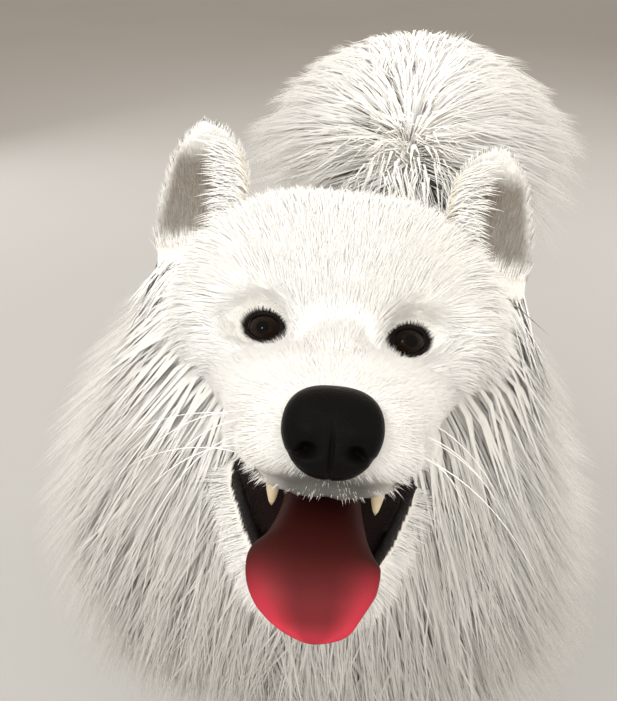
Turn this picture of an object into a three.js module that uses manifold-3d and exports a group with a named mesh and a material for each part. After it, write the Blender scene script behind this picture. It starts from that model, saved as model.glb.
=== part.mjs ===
// A samoyed standing on four feet, head raised and turned a little to its left, mouth open, tongue out,
// tail curled over the back. Millimetres, +Z up, the dog faces -Y and its left side is +X.
import * as THREE from "three";
import { mergeVertices } from "three/addons/utils/BufferGeometryUtils.js";
import Module from "manifold-3d";

const wasm = await Module();
wasm.setup();

// Driving dimensions
const GAP = 0.35; // between touching solids
const CORE_SHARE = 0.45; // how far out through the long coat each core reaches
const ROOT_SHARE = 0.12; // how far out a lock of hair starts
const HEAD_AT = [20, -380, 670]; // midpoint between the eyes
const HEAD_PITCH = 25.7; // nose up, degrees
const HEAD_TURN = 9.4; // towards the dog's left
const HEAD_TILT = 4.7; // crown towards the dog's left
const EYE_SPACING = 67; // between the eyeballs' centres
const EYE_RADIUS = 11;
const EYE_DEPTH = 9; // the eyeballs' centres lie this far behind the head's origin
const EYE_DROP = 4; // and this far below it
const FORE_STANCE = 82; // half the distance between the fore paws
const HIND_STANCE = 84;
const ELBOW = 176; // height where the upper foreleg ends
const GASKIN = 240; // height where the thigh ends
const ANKLE = 40; // height where a paw ends
const WAIST = 40; // where the chest ends and the loin begins, along Y
const TAIL_BEND = 585; // height where the tail's rise ends
const TAIL_FALL = 200; // where its fall towards the back begins, along Y
const SAG = 50; // how far the plume hangs at its sides
const LIP = 3; // half the thickness of a lip
const NOSE = { at: [0, -101, -28], size: [19, 11, 15] };
const NOSTRIL = { at: [8, -111, -29], size: [4, 5, 3.5] };
const CANINE = { at: [20, -77, -55], radius: 3.4, length: 26, lean: 12 };
const ORBIT = { at: [39, -12, -2], size: [17, 15, 12] }; // the hollow in front of an eye
const LID = { at: [36, 0.5, -3.5], radius: 10.5, thick: 3.2, wide: 1.05, high: 0.86 };
const EYE_TURN = 12; // an eye's opening looks out by this, degrees
const EYE_RISE = 16; // and rises this much to its outer corner
const MOUTH_ROOM = { at: [0, -58, -68], size: [30, 46, 14] };

// Materials
const finish = (color, roughness) => new THREE.MeshStandardMaterial({ color, roughness, metalness: 0 });
const COAT = finish(0xf3f0e6, 0.9);
const LEATHER = finish(0x14120f, 0.45);
const TONGUE = finish(0xb8404c, 0.4);
const EYE = finish(0x1a0f08, 0.08);
const TOOTH = finish(0xe9e0c6, 0.3);

// Vectors, chance and solids
const vec = (x, y, z) => new THREE.Vector3(x, y, z);
const at = (array) => new THREE.Vector3(...array);
const degrees = THREE.MathUtils.degToRad;
const clamp = THREE.MathUtils.clamp;
const SEED = 7;
THREE.MathUtils.seededRandom(SEED);
const vary = (spread) => (THREE.MathUtils.seededRandom() * 2 - 1) * spread;

// A closed three.js geometry as a solid, each vertex moved out along its normal by the growth.
function solid(geometry, grow = 0) {
  const bare = geometry.index ? geometry.toNonIndexed() : geometry.clone();
  for (const name of Object.keys(bare.attributes)) if (name !== "position") bare.deleteAttribute(name);
  const merged = mergeVertices(bare, 1e-3);
  merged.computeVertexNormals();
  const normals = merged.attributes.normal.array;
  const places = new Float32Array(merged.attributes.position.array);
  const vertProperties = places.map((c, i) => c + grow * normals[i]);
  const triVerts = new Uint32Array(merged.index.array);
  return new wasm.Manifold(new wasm.Mesh({ numProp: 3, vertProperties, triVerts }));
}

// A solid as a geometry with normals.
function geometryOf(made) {
  const { numProp, vertProperties, triVerts } = made.getMesh();
  const position = new Float32Array((vertProperties.length / numProp) * 3);
  for (let i = 0; i * numProp < vertProperties.length; i++)
    position.set(vertProperties.subarray(i * numProp, i * numProp + 3), i * 3);
  const geometry = new THREE.BufferGeometry();
  geometry.setAttribute("position", new THREE.BufferAttribute(position, 3));
  geometry.setIndex(new THREE.BufferAttribute(triVerts, 1));
  geometry.computeVertexNormals();
  return geometry;
}

const union = (solids) => wasm.Manifold.union(solids);
const largest = (made) => made.decompose().reduce((a, b) => (b.volume() > a.volume() ? b : a));

// Moves every vertex of a geometry by a function of its place.
function reshape(geometry, move) {
  const position = geometry.attributes.position;
  const point = vec(0, 0, 0);
  for (let i = 0; i < position.count; i++) {
    point.fromBufferAttribute(position, i);
    position.setXYZ(i, ...move(point).toArray());
  }
  return geometry;
}

// A geometry with its left and right exchanged.
function mirrored(geometry) {
  geometry.scale(-1, 1, 1);
  const index = geometry.index.array;
  for (let i = 0; i < index.length; i += 3) [index[i + 1], index[i + 2]] = [index[i + 2], index[i + 1]];
  return geometry;
}

// A lock of hair: a flat three-sided strand, pointed at both ends, that leaves its root along a curve to
// its tip. Out is the way its ridge looks, and size is its half width, half thickness and steps.
const LOCK_AROUND = 3;
const lockOutline = (t) => Math.sin(Math.PI * t ** 0.8) ** 0.7; // share of the widest, from root to tip
function lock(root, bend, tip, out, [width, thickness, steps], grow = 0) {
  const curve = new THREE.QuadraticBezierCurve3(root, bend, tip);
  const strand = reshape(new THREE.SphereGeometry(1, LOCK_AROUND, steps), (p) => {
    const t = Math.acos(clamp(p.y, -1, 1)) / Math.PI;
    const tangent = curve.getTangent(t);
    const made = curve.getPoint(t);
    if (Math.hypot(p.x, p.z) < 1e-6) return made.addScaledVector(tangent, (t < 0.5 ? -4 : 4) * grow);
    const side = tangent.clone().cross(out).normalize();
    const over = side.clone().cross(tangent);
    const angle = Math.atan2(p.z, -p.x) + Math.PI / 2;
    const share = lockOutline(t);
    return made
      .addScaledVector(side, Math.cos(angle) * (share * width + 3 * grow))
      .addScaledVector(over, Math.sin(angle) * (share * thickness + 2 * grow));
  });
  return solid(strand);
}

// A tube of oval sections along a smooth path, closed and rounded at both ends.
// A station is [x, y, z, side, over, under, coatSide, coatOver, coatUnder]: the skin's centre and half
// sizes, then the depth of the coat on it. Side is along X, over is square to it and to the path.
// Fullness squares the ovals, and sag lets the coat at the sides hang lower.
class Tube {
  constructor(stations, settings = {}) {
    const usual = { around: 12, along: 8, blunt: [0.1, 0.1], fullness: 2, sag: 0, share: 1 };
    Object.assign(this, usual, settings);
    const curve = (from) => {
      const points = stations.map((s) => vec(s[from] ?? 0, s[from + 1] ?? 0, s[from + 2] ?? 0));
      return new THREE.CatmullRomCurve3(points, false, "catmullrom");
    };
    this.path = curve(0);
    this.skin = curve(3);
    this.coat = curve(6);
    this.locks = [];
  }

  frame(s) {
    const tangent = this.path.getTangent(s);
    const side = vec(1, 0, 0).addScaledVector(tangent, -tangent.x).normalize();
    return { centre: this.path.getPoint(s), tangent, side, over: side.clone().cross(tangent) };
  }

  // How much the section shrinks towards the rounded ends.
  rounding(s) {
    const [start, end] = this.blunt;
    const inward = Math.min(1, s / start, (1 - s) / end);
    return Math.sqrt(Math.max(0, 1 - (1 - inward) ** 2));
  }

  // The place at s along the path and an angle from the side towards over, at a share of the coat's depth.
  point(s, angle, share = this.share) {
    const { centre, side, over } = this.frame(s);
    const skin = this.skin.getPoint(s);
    const coat = this.coat.getPoint(s);
    const up = Math.sin(angle) >= 0;
    const height = (up ? skin.y : skin.z) + share * (up ? coat.y : coat.z);
    const width = skin.x + share * coat.x;
    const round = this.rounding(s);
    const squared = (value) => Math.sign(value) * Math.abs(value) ** (2 / this.fullness);
    const made = centre
      .addScaledVector(side, squared(Math.cos(angle)) * width * round)
      .addScaledVector(over, squared(Math.sin(angle)) * height * round);
    made.z -= this.sag * share * Math.cos(angle) ** 2;
    return made;
  }

  // Adds rows of locks. Each row is [s, first angle, last angle, count]; the locks run on along the path by
  // reach, which may be negative, turn round it towards the under side by drift degrees, and droop.
  addLocks(rows, settings) {
    const usual = { thickness: 10, steps: 3, drift: 0, droop: 0, bulge: 14, tipShare: 1 };
    const { reach, width, thickness, steps, drift, droop, bulge, tipShare } = { ...usual, ...settings };
    const length = this.path.getLength();
    for (const [s, first, last, count] of rows)
      for (let i = 0; i < count; i++) {
        const angle = degrees(count > 1 ? first + ((last - first) * i) / (count - 1) : first) + vary(0.05);
        const turned = angle - degrees(drift) * Math.cos(angle);
        const end = s + reach * (1 + vary(0.12));
        const kept = clamp(end, 0.03, 0.97);
        const root = this.point(s, angle, ROOT_SHARE);
        const tip = this.point(kept, turned, tipShare * (1 + vary(0.04)));
        tip.addScaledVector(this.frame(kept).tangent, (end - kept) * length * 0.6);
        tip.z -= droop;
        const out = this.point(s, angle, 1).sub(root).normalize();
        const bend = root.clone().lerp(tip, 0.45).addScaledVector(out, bulge);
        this.locks.push([root, bend, tip, out, [width * (1 + vary(0.12)), thickness, steps]]);
      }
    return this;
  }

  geometry() {
    return reshape(new THREE.SphereGeometry(1, this.around, this.along), (p) => {
      const s = Math.acos(clamp(p.y, -1, 1)) / Math.PI;
      return Math.hypot(p.x, p.z) < 1e-6 ? this.path.getPoint(s) : this.point(s, Math.atan2(p.z, -p.x));
    });
  }

  solid(grow = 0) {
    return union([solid(this.geometry(), grow), ...this.locks.map((one) => lock(...one, grow))]);
  }
}

// An ellipsoid, turned about its centre by degrees about X, Y and Z.
function ellipsoid(centre, radii, { around = 12, along = 6, turn = [0, 0, 0], grow = 0 } = {}) {
  const geometry = new THREE.SphereGeometry(1, around, along);
  geometry.rotateX(Math.PI / 2);
  geometry.scale(...radii);
  geometry.applyMatrix4(new THREE.Matrix4().makeRotationFromEuler(new THREE.Euler(...turn.map(degrees))));
  geometry.translate(...centre);
  return solid(geometry, grow);
}

// A round cord along a smooth path.
function cord(points, radius, { steps = 10, around = 6 } = {}) {
  const shape = new THREE.Shape();
  shape.absarc(0, 0, radius, 0, Math.PI * 2);
  const extrudePath = new THREE.CatmullRomCurve3(points.map(at), false, "catmullrom");
  return solid(new THREE.ExtrudeGeometry(shape, { steps, curveSegments: around, extrudePath }));
}

// Head, in a frame with its origin between the brows just over the eyes, y to the back of the head
const headPlace = new THREE.Matrix4()
  .makeTranslation(...HEAD_AT)
  .multiply(new THREE.Matrix4().makeRotationZ(degrees(HEAD_TURN)))
  .multiply(new THREE.Matrix4().makeRotationX(degrees(-HEAD_PITCH)))
  .multiply(new THREE.Matrix4().makeRotationY(degrees(HEAD_TILT)));

const skull = new Tube(
  [
    [0, -101, -31, 20, 16, 18],
    [0, -88, -31, 32, 22, 24],
    [0, -62, -30, 44, 24, 27],
    [0, -34, -27, 51, 25, 28],
    [0, -12, -24, 58, 28, 32],
    [0, 6, -15, 70, 45, 41],
    [0, 22, -9, 84, 64, 54],
    [0, 48, -4, 98, 80, 70],
    [0, 78, -8, 104, 86, 78],
    [0, 108, -16, 92, 76, 70],
    [0, 130, -24, 60, 50, 44],
  ],
  { around: 16, along: 15, blunt: [0.08, 0.12] },
);

const jaw = new Tube(
  [
    [0, -73, -103, 18, 9, 9],
    [0, -60, -99, 27, 10, 13],
    [0, -36, -90, 36, 12, 17],
    [0, -10, -80, 46, 14, 22],
    [0, 16, -72, 56, 16, 30],
    [0, 42, -66, 62, 18, 36],
  ],
  { around: 14, along: 8, blunt: [0.14, 0.2] },
);

const tongue = new Tube(
  [
    [0, -10, -64, 17, 4, 6],
    [0, -45, -70, 17, 4, 6],
    [-1, -72, -75, 20, 4, 5],
    [-2, -86, -80, 26, 4, 4],
    [-1, -95, -90, 24, 3.5, 4],
    [0, -99, -100, 16, 3, 3],
    [0, -100, -107, 8, 3, 3],
  ],
  { around: 10, along: 12, blunt: [0.08, 0.16] },
);

// The lips: a cord round the edge of the lower jaw, and one along each side of the upper.
const lowerLip = () =>
  cord(
    [-1, 1].flatMap((side) => {
      const half = [
        [side * 43, -14, -69],
        [side * 35, -38, -80],
        [side * 25, -60, -91],
        [side * 10, -74, -97],
      ];
      return side < 0 ? half : half.reverse();
    }),
    LIP,
  );
const upperLip = (side) =>
  cord(
    [
      [side * 45, -16, -47],
      [side * 38, -42, -50],
      [side * 33, -66, -50],
      [side * 18, -88, -49],
    ],
    LIP,
    { steps: 6 },
  );

const nosePad = (grow = 0) =>
  union([
    ellipsoid(NOSE.at, NOSE.size, { around: 14, along: 8, grow }),
    ellipsoid([0, -96, -19], [17, 12, 9], { grow }),
  ]);
const onSide = (side, [x, y, z]) => [side * x, y, z];
const nostril = (side) =>
  ellipsoid(onSide(side, NOSTRIL.at), NOSTRIL.size, {
    around: 8,
    along: 5,
    turn: [0, side * 35, side * 20],
  });

// An upper canine tooth, seen below the lip.
function tooth(side, grow = 0) {
  const cone = new THREE.ConeGeometry(CANINE.radius, CANINE.length, 7);
  cone.rotateX(-Math.PI / 2 - degrees(CANINE.lean));
  cone.translate(...onSide(side, CANINE.at));
  return solid(cone, grow);
}

const eyeball = (side, grow = 0) =>
  ellipsoid([(side * EYE_SPACING) / 2, EYE_DEPTH, -EYE_DROP], Array(3).fill(EYE_RADIUS), { along: 8, grow });
const orbit = (side) =>
  ellipsoid(onSide(side, ORBIT.at), ORBIT.size, { turn: [0, side * -EYE_TURN, side * EYE_RISE] });

// The rim of the lids: a ring that leans back with the face and rises to its outer corner.
function lids(side) {
  const ring = new THREE.TorusGeometry(LID.radius, LID.thick, 4, 12);
  ring.scale(LID.wide, LID.high, 1);
  ring.rotateX(Math.PI / 2);
  ring.rotateY(degrees(side * -EYE_TURN));
  ring.rotateZ(degrees(side * EYE_RISE));
  ring.translate(...onSide(side, LID.at));
  return solid(ring);
}

// An ear is a leaf with a hollow front, modelled as the left one and mirrored for the right.
const EAR_BASE = [79, 70, 34];
const EAR_TIP = [83, 67, 104];
const EAR_CUP = 11;
const EAR_WIDTH = 37;
const EAR_THICKNESS = 4.5;
function ear(side, grow = 0) {
  const facing = vec(0.22, -0.97, 0.08).normalize();
  const leaf = reshape(new THREE.SphereGeometry(1, 12, 9), (p) => {
    const rise = (1 + p.y) / 2;
    const reach = Math.hypot(p.x, p.z);
    const share = reach > 1e-6 ? p.x / reach : 0;
    const depth = reach > 1e-6 ? p.z / reach : 0;
    const width = EAR_WIDTH * Math.max(0, 1 - rise ** 1.9) ** 0.62 * Math.min(1, reach * 1.6);
    const across = vec(0.72 + 0.2 * rise, 0.12, -0.68 + 0.36 * rise).normalize();
    const cup = -EAR_CUP * (1 - share * share) * Math.sin(Math.PI * Math.min(1, rise * 1.05 + 0.08));
    const thick = EAR_THICKNESS * Math.sqrt(reach);
    return at(EAR_BASE)
      .lerp(at(EAR_TIP), rise)
      .addScaledVector(across, share * width)
      .addScaledVector(facing, cup + depth * thick);
  });
  return solid(side > 0 ? leaf : mirrored(leaf), grow);
}

// Neck and ruff, from between the shoulders up to the back of the head. Over is the throat side.
const neck = new Tube(
  [
    [-2, -190, 366, 84, 66, 70, 96, 54, 30],
    [-2, -236, 416, 92, 92, 84, 106, 66, 40],
    [-3, -270, 472, 90, 94, 80, 108, 74, 50],
    [-2, -288, 530, 84, 88, 72, 102, 74, 52],
    [4, -298, 586, 78, 80, 64, 84, 64, 48],
    [12, -306, 640, 72, 70, 58, 56, 48, 40],
    [18, -316, 686, 58, 56, 50, 32, 28, 22],
  ],
  { around: 14, along: 9, blunt: [0.06, 0.12], fullness: 2.8, share: CORE_SHARE },
)
  .addLocks([[0.93, -58, 238, 11]], { reach: -0.22, width: 28, thickness: 8, tipShare: 0.9 })
  .addLocks([[0.76, -75, 255, 12], [0.58, -50, 230, 11]], { reach: -0.31, width: 35, steps: 4, droop: 4 })
  .addLocks([[0.4, -38, 218, 10]], { reach: -0.34, width: 40, steps: 4, droop: 8 })
  .addLocks([[0.24, -10, 190, 7]], { reach: -0.26, width: 40, droop: 12 });

// Trunk, from the front of the chest to the rump. Over is the back.
const trunk = new Tube(
  [
    [-2, -326, 372, 56, 50, 58, 62, 40, 44],
    [-2, -280, 384, 80, 80, 86, 84, 46, 50],
    [0, -215, 396, 92, 102, 106, 80, 46, 48],
    [0, -150, 402, 98, 114, 118, 66, 40, 46],
    [2, -70, 396, 100, 112, 116, 60, 40, 46],
    [5, 10, 396, 97, 106, 106, 60, 42, 46],
    [8, 90, 405, 88, 97, 88, 62, 44, 50],
    [10, 160, 416, 82, 85, 72, 68, 46, 58],
    [10, 220, 420, 82, 78, 66, 74, 48, 62],
    [10, 268, 418, 66, 64, 60, 76, 46, 66],
    [10, 300, 410, 42, 42, 46, 66, 44, 60],
  ],
  { around: 12, along: 12, blunt: [0.08, 0.08], share: CORE_SHARE },
)
  .addLocks([[0.05, 0, -180, 6]], { reach: 0.1, width: 36, droop: 16 })
  .addLocks([[0.3, -60, 240, 8], [0.42, -75, 255, 9], [0.54, -60, 240, 8], [0.66, -75, 255, 9]], {
    reach: 0.17,
    width: 40,
    drift: 12,
    droop: 8,
  })
  .addLocks([[0.79, -70, 250, 8], [0.9, -20, 60, 2], [0.9, 120, 200, 2]], {
    reach: 0.15,
    width: 36,
    drift: 10,
    droop: 12,
  });

// Legs, from the body down. Over is the back of the leg.
function foreLeg(side) {
  const x = side * FORE_STANCE;
  const upper = new Tube(
    [
      [x * 0.98, -160, 320, 36, 46, 44, 16, 20, 14],
      [x, -158, 270, 33, 38, 34, 16, 26, 12],
      [x, -166, 215, 27, 28, 25, 14, 26, 10],
      [x, -173, 150, 22, 22, 20, 12, 22, 9],
      [x, -175, 120, 21, 20, 20, 11, 18, 9],
    ],
    { around: 10, along: 6, blunt: [0.15, 0.1], share: 0.6 },
  ).addLocks([[0.3, 70, 110, 2], [0.46, 60, 120, 2]], {
    reach: 0.2,
    width: 18,
    thickness: 7,
    tipShare: 1.2,
  });
  const lower = new Tube(
    [
      [x, -162, 235, 29, 30, 27, 14, 26, 10],
      [x, -169, 190, 24, 25, 22, 13, 24, 9],
      [x, -174, 135, 21, 20, 20, 11, 18, 9],
      [x, -178, 95, 21, 19, 20, 9, 12, 8],
      [x, -186, 50, 22, 18, 20, 8, 10, 8],
      [x, -192, 24, 24, 18, 20, 6, 8, 6],
    ],
    { around: 10, along: 6, blunt: [0.1, 0.15], share: 0.6 },
  );
  return { upper, lower };
}

function hindLeg(side) {
  const x = side * HIND_STANCE;
  const outward = side > 0 ? [-40, 120] : [60, 220];
  const thigh = new Tube(
    [
      [x * 0.8, 205, 430, 42, 62, 62, 40, 46, 26],
      [x * 0.95, 200, 375, 48, 76, 62, 40, 58, 26],
      [x * 1.02, 196, 325, 42, 70, 50, 34, 62, 22],
      [x * 1.02, 208, 275, 33, 50, 38, 26, 52, 16],
      [x, 232, 222, 24, 32, 26, 17, 32, 12],
      [x, 250, 188, 20, 24, 22, 12, 20, 10],
    ],
    { around: 12, along: 8, blunt: [0.14, 0.12], share: CORE_SHARE },
  )
    .addLocks([[0.18, ...outward, 3], [0.42, ...outward, 4]], { reach: 0.26, width: 30, thickness: 9 });
  const shank = new Tube(
    [
      [x * 1.02, 203, 295, 35, 54, 40, 28, 54, 17],
      [x * 1.01, 214, 258, 29, 41, 33, 21, 41, 14],
      [x, 240, 208, 22, 28, 24, 14, 26, 11],
      [x, 262, 165, 18, 22, 20, 10, 16, 9],
      [x, 272, 130, 18, 20, 19, 9, 12, 8],
      [x, 268, 85, 18, 17, 18, 8, 10, 8],
      [x, 258, 48, 20, 17, 18, 8, 9, 8],
      [x, 252, 24, 23, 17, 18, 6, 8, 6],
    ],
    { around: 10, along: 9, blunt: [0.08, 0.1], share: 0.6 },
  );
  return { thigh, shank };
}

// A paw: a low arched foot with four toes and their claws, cut level where it stands.
const PAW = { width: 30, length: 38, height: 24, toe: 11, toeLength: 18, claw: 3 };
function paw(x, y) {
  const foot = ellipsoid([x, y - 12, 14], [PAW.width, PAW.length, PAW.height], { around: 10 });
  const toes = [-1.5, -0.5, 0.5, 1.5].flatMap((i) => {
    const toeX = x + i * PAW.toe * 1.2;
    const toeY = y - 40 + Math.abs(i) * 6;
    const claw = new THREE.ConeGeometry(PAW.claw, 14, 5);
    claw.rotateX(degrees(200));
    claw.translate(toeX, toeY - PAW.toeLength, 10);
    const toe = [PAW.toe - 1, PAW.toeLength, PAW.toe + 2];
    return [ellipsoid([toeX, toeY, 12], toe, { around: 7, along: 4, turn: [0, 0, i * 7] }), solid(claw)];
  });
  return union([foot, ...toes]);
}

// Tail, curled up and forward over the back. Over is the inner side of the curl.
const TAIL = [
  [10, 268, 470, 26, 26, 26, 26, 30, 30],
  [11, 302, 512, 25, 25, 26, 74, 44, 46],
  [12, 314, 560, 23, 23, 24, 130, 60, 60],
  [12, 292, 606, 21, 21, 22, 166, 70, 64],
  [10, 240, 634, 19, 19, 20, 180, 74, 66],
  [8, 176, 636, 17, 17, 18, 182, 74, 66],
  [10, 112, 620, 14, 14, 15, 176, 64, 66],
  [14, 60, 594, 11, 11, 12, 160, 50, 60],
  [16, 24, 562, 8, 8, 8, 120, 36, 50],
];
const tailRun = (from, to, sag) =>
  new Tube(TAIL.slice(from, to + 1), { around: 12, along: 7, blunt: [0.1, 0.16], sag, share: 0.5 });
const PLUME = { reach: 0.2, width: 38, steps: 4, drift: -20, droop: 36, bulge: 40 };
const CREST = { reach: 0.3, width: 38, steps: 4, drift: -22, droop: 6, bulge: 16 };
const plumeSides = (...rows) => rows.flatMap((s) => [[s, 8, 8, 1], [s, 172, 172, 1]]);
const tailBase = tailRun(0, 3, SAG / 2)
  .addLocks([[0.3, 215, 325, 4]], { reach: 0.34, width: 30 })
  .addLocks(plumeSides(0.48, 0.72), { ...PLUME, droop: 20 });
const tailMiddle = tailRun(2, 5, SAG)
  .addLocks([[0.16, 206, 334, 5], [0.46, 200, 340, 6]], CREST)
  .addLocks(plumeSides(0.3, 0.52, 0.74), PLUME);
const tailTip = tailRun(4, 8, SAG)
  .addLocks([[0.2, 206, 334, 5], [0.42, 200, 340, 6], [0.64, 206, 334, 5]], CREST)
  .addLocks([[0.82, 220, 320, 3]], { ...CREST, reach: 0.24, droop: 16 })
  .addLocks(plumeSides(0.16, 0.36, 0.56, 0.74), PLUME);

// Cutting tools
function slab(low, high) {
  const size = at(high).sub(at(low));
  const box = new THREE.BoxGeometry(...size.toArray());
  box.translate(...at(low).add(at(high)).multiplyScalar(0.5).toArray());
  return solid(box);
}
const FAR = 2000;
const above = (z) => slab([-FAR, -FAR, z], [FAR, FAR, FAR]);
const below = (z) => slab([-FAR, -FAR, -FAR], [FAR, FAR, z]);
const behind = (y) => slab([-FAR, y, -FAR], [FAR, FAR, FAR]);
const before = (y) => slab([-FAR, -FAR, -FAR], [FAR, y, FAR]);
const inWorld = (made) => solid(geometryOf(made).applyMatrix4(headPlace));

// Solids of the head, in its own frame
const sides = [-1, 1];
const mouthRoom = ellipsoid(MOUTH_ROOM.at, MOUTH_ROOM.size, { turn: [8, 0, 0] });
const noseSolid = nosePad().subtract(union(sides.map(nostril)));
const upper = skull
  .solid()
  .subtract(union(sides.map(orbit)))
  .add(union([...sides.map(lids), ...sides.map(upperLip)]));
const headSolid = largest(
  upper
    .subtract(nosePad(GAP))
    .subtract(mouthRoom)
    .subtract(union(sides.map((side) => eyeball(side, GAP))))
    .subtract(union(sides.map((side) => tooth(side, GAP))))
    .subtract(union(sides.map((side) => ear(side, 2 * GAP)))),
);
const teeth = union(sides.map((side) => tooth(side, 2 * GAP)));
const lipsRoom = union(sides.map(upperLip));
const upperRoom = union([skull.solid(GAP).subtract(mouthRoom), lipsRoom]);
const tongueSolid = largest(tongue.solid().subtract(upperRoom).subtract(teeth));
const tongueRoom = tongue.solid(GAP);
const jawSolid = largest(
  jaw
    .solid()
    .add(lowerLip())
    .subtract(skull.solid(GAP))
    .subtract(lipsRoom)
    .subtract(tongueRoom)
    .subtract(teeth),
);
const headRoom = union([
  skull.solid(GAP),
  lipsRoom,
  jaw.solid(GAP),
  tongueRoom,
  ...sides.map((side) => ear(side, 3 * GAP)),
]);

// Solids of the body, in the world's frame
const neckSolid = largest(neck.solid().subtract(inWorld(headRoom)));
const neckRoom = neck.solid(GAP);
const trunkSolid = trunk.solid().subtract(neckRoom);
const trunkRoom = union([trunk.solid(GAP), neckRoom]);
const chest = largest(trunkSolid.intersect(before(WAIST - GAP / 2)));
const loin = largest(trunkSolid.intersect(behind(WAIST + GAP / 2)));
const tailOne = tailBase.solid().subtract(trunkRoom).intersect(below(TAIL_BEND));
const tailTwo = tailMiddle
  .solid()
  .intersect(above(TAIL_BEND + GAP))
  .intersect(behind(TAIL_FALL + GAP))
  .subtract(trunkRoom);
const tailThree = tailTip.solid().intersect(before(TAIL_FALL)).subtract(trunkRoom);

// The scene
const root = new THREE.Group();
const head = new THREE.Group();
headPlace.decompose(head.position, head.quaternion, head.scale);
root.add(head);

function place(name, made, material, group = root) {
  const mesh = new THREE.Mesh(geometryOf(made), material);
  mesh.name = name;
  group.add(mesh);
}

place("head", headSolid, COAT, head);
place("lower_jaw", jawSolid, COAT, head);
place("tongue", tongueSolid, TONGUE, head);
place("nose", noseSolid, LEATHER, head);
place("neck", neckSolid, COAT);
place("chest", chest, COAT);
place("loin", loin, COAT);
place("tail_base", largest(tailOne), COAT);
place("tail_middle", largest(tailTwo), COAT);
place("tail_tip", largest(tailThree), COAT);

for (const side of sides) {
  const hand = side > 0 ? "left" : "right";
  place("eye_" + hand, eyeball(side), EYE, head);
  place("ear_" + hand, largest(ear(side)), COAT, head);
  place("tooth_" + hand, tooth(side), TOOTH, head);

  const standing = slab([-FAR, -FAR, 0], [FAR, FAR, ANKLE]);
  const fore = foreLeg(side);
  const foreUpper = fore.upper.solid().intersect(above(ELBOW)).subtract(trunkRoom);
  const foreLower = fore.lower.solid().intersect(slab([-FAR, -FAR, ANKLE + GAP], [FAR, FAR, ELBOW - GAP]));
  const forePaw = paw(side * FORE_STANCE, -188).add(fore.lower.solid()).intersect(standing);
  place("foreleg_upper_" + hand, largest(foreUpper), COAT);
  place("foreleg_lower_" + hand, largest(foreLower), COAT);
  place("fore_paw_" + hand, largest(forePaw), COAT);

  const hind = hindLeg(side);
  const thigh = hind.thigh.solid().intersect(above(GASKIN)).subtract(trunkRoom);
  const shank = hind.shank.solid().intersect(slab([-FAR, -FAR, ANKLE + GAP], [FAR, FAR, GASKIN - GAP]));
  const hindPaw = paw(side * HIND_STANCE, 248).add(hind.shank.solid()).intersect(standing);
  place("thigh_" + hand, largest(thigh), COAT);
  place("shank_" + hand, largest(shank), COAT);
  place("hind_paw_" + hand, largest(hindPaw), COAT);
}

// The origin is on the floor under the middle of the dog.
const box = new THREE.Box3().setFromObject(root, true);
const middle = box.getCenter(vec(0, 0, 0));
root.position.set(-middle.x, -middle.y, -box.min.z);

export default root;
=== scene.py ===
"""A samoyed as a life-size still model: skin, coat, face, feet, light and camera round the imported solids.

Sizes are worked out in millimetres in the dog's own frame, which has +Z up and the dog facing -Y with
its left side at +X. The head has a frame of its own, with its origin between the brows, just over the eyes.
"""
import sys
import logging
import math
from dataclasses import dataclass, field, replace
from enum import Enum

import bpy
import numpy as np
from mathutils import Matrix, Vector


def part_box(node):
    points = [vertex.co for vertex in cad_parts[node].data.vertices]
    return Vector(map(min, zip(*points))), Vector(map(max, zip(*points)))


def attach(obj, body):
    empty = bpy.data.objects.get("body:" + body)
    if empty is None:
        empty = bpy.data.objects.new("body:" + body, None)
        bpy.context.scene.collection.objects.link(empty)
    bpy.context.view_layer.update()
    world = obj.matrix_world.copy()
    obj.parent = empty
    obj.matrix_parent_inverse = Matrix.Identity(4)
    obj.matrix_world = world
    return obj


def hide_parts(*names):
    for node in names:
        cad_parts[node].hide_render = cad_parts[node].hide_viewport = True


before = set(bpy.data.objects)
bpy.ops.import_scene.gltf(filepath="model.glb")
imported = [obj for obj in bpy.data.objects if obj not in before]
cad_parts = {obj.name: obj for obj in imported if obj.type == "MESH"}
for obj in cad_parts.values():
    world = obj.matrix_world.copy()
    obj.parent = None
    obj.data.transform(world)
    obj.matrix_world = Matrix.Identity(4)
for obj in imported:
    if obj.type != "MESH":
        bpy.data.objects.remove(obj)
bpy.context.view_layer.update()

Array = np.ndarray
Surface = tuple[Array, list]
Chance = np.random.Generator
Material = bpy.types.Material
Socket = bpy.types.NodeSocket
Piece = bpy.types.Object
log = logging.getLogger("samoyed")

# Metres in a millimetre, the picture's size, and how the head is held: its place and degrees
MM = 0.001
IMAGE = (617, 701)
HEAD_AT = (20, -380, 670)
HEAD_PITCH = 25.7
HEAD_TURN = 9.4
HEAD_TILT = 4.7
# The left eye, its radius and the nose, in the head's frame
EYE_CENTRE = (33.5, 9.0, -4.0)
EYE_RADIUS = 11.0
NOSE_CENTRE = (0.0, -98.0, -26.0)
# The body that all rides on, the most triangles in a coat's piece, and a tuft's patch on the OFBake map
BODY = "root"
TRIANGLES_A_PIECE = 190_000
PATCH = 0.003
SIDES = {"left": 1, "right": -1}


class Slot(Enum):
    """The record's material slots."""

    COAT = "coat"
    LEATHER = "leather"
    TONGUE = "tongue"
    EYE = "eye"
    TOOTH = "tooth"


# Arithmetic on whole arrays


def unit(vectors: Array) -> Array:
    """Each vector divided by its own length."""
    return vectors / np.maximum(np.linalg.norm(vectors, axis=-1, keepdims=True), 1e-9)


def smooth(values: Array, low: float, high: float) -> Array:
    """Zero below low, one above high, and 3t^2 - 2t^3 between them."""
    t = np.clip((values - low) / (high - low), 0.0, 1.0)
    return t * t * (3.0 - 2.0 * t)


def bell(values: Array, width: float) -> Array:
    """A bell of height one: e to the power of minus the square of values over width."""
    return np.exp(-((values / width) ** 2))


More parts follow.
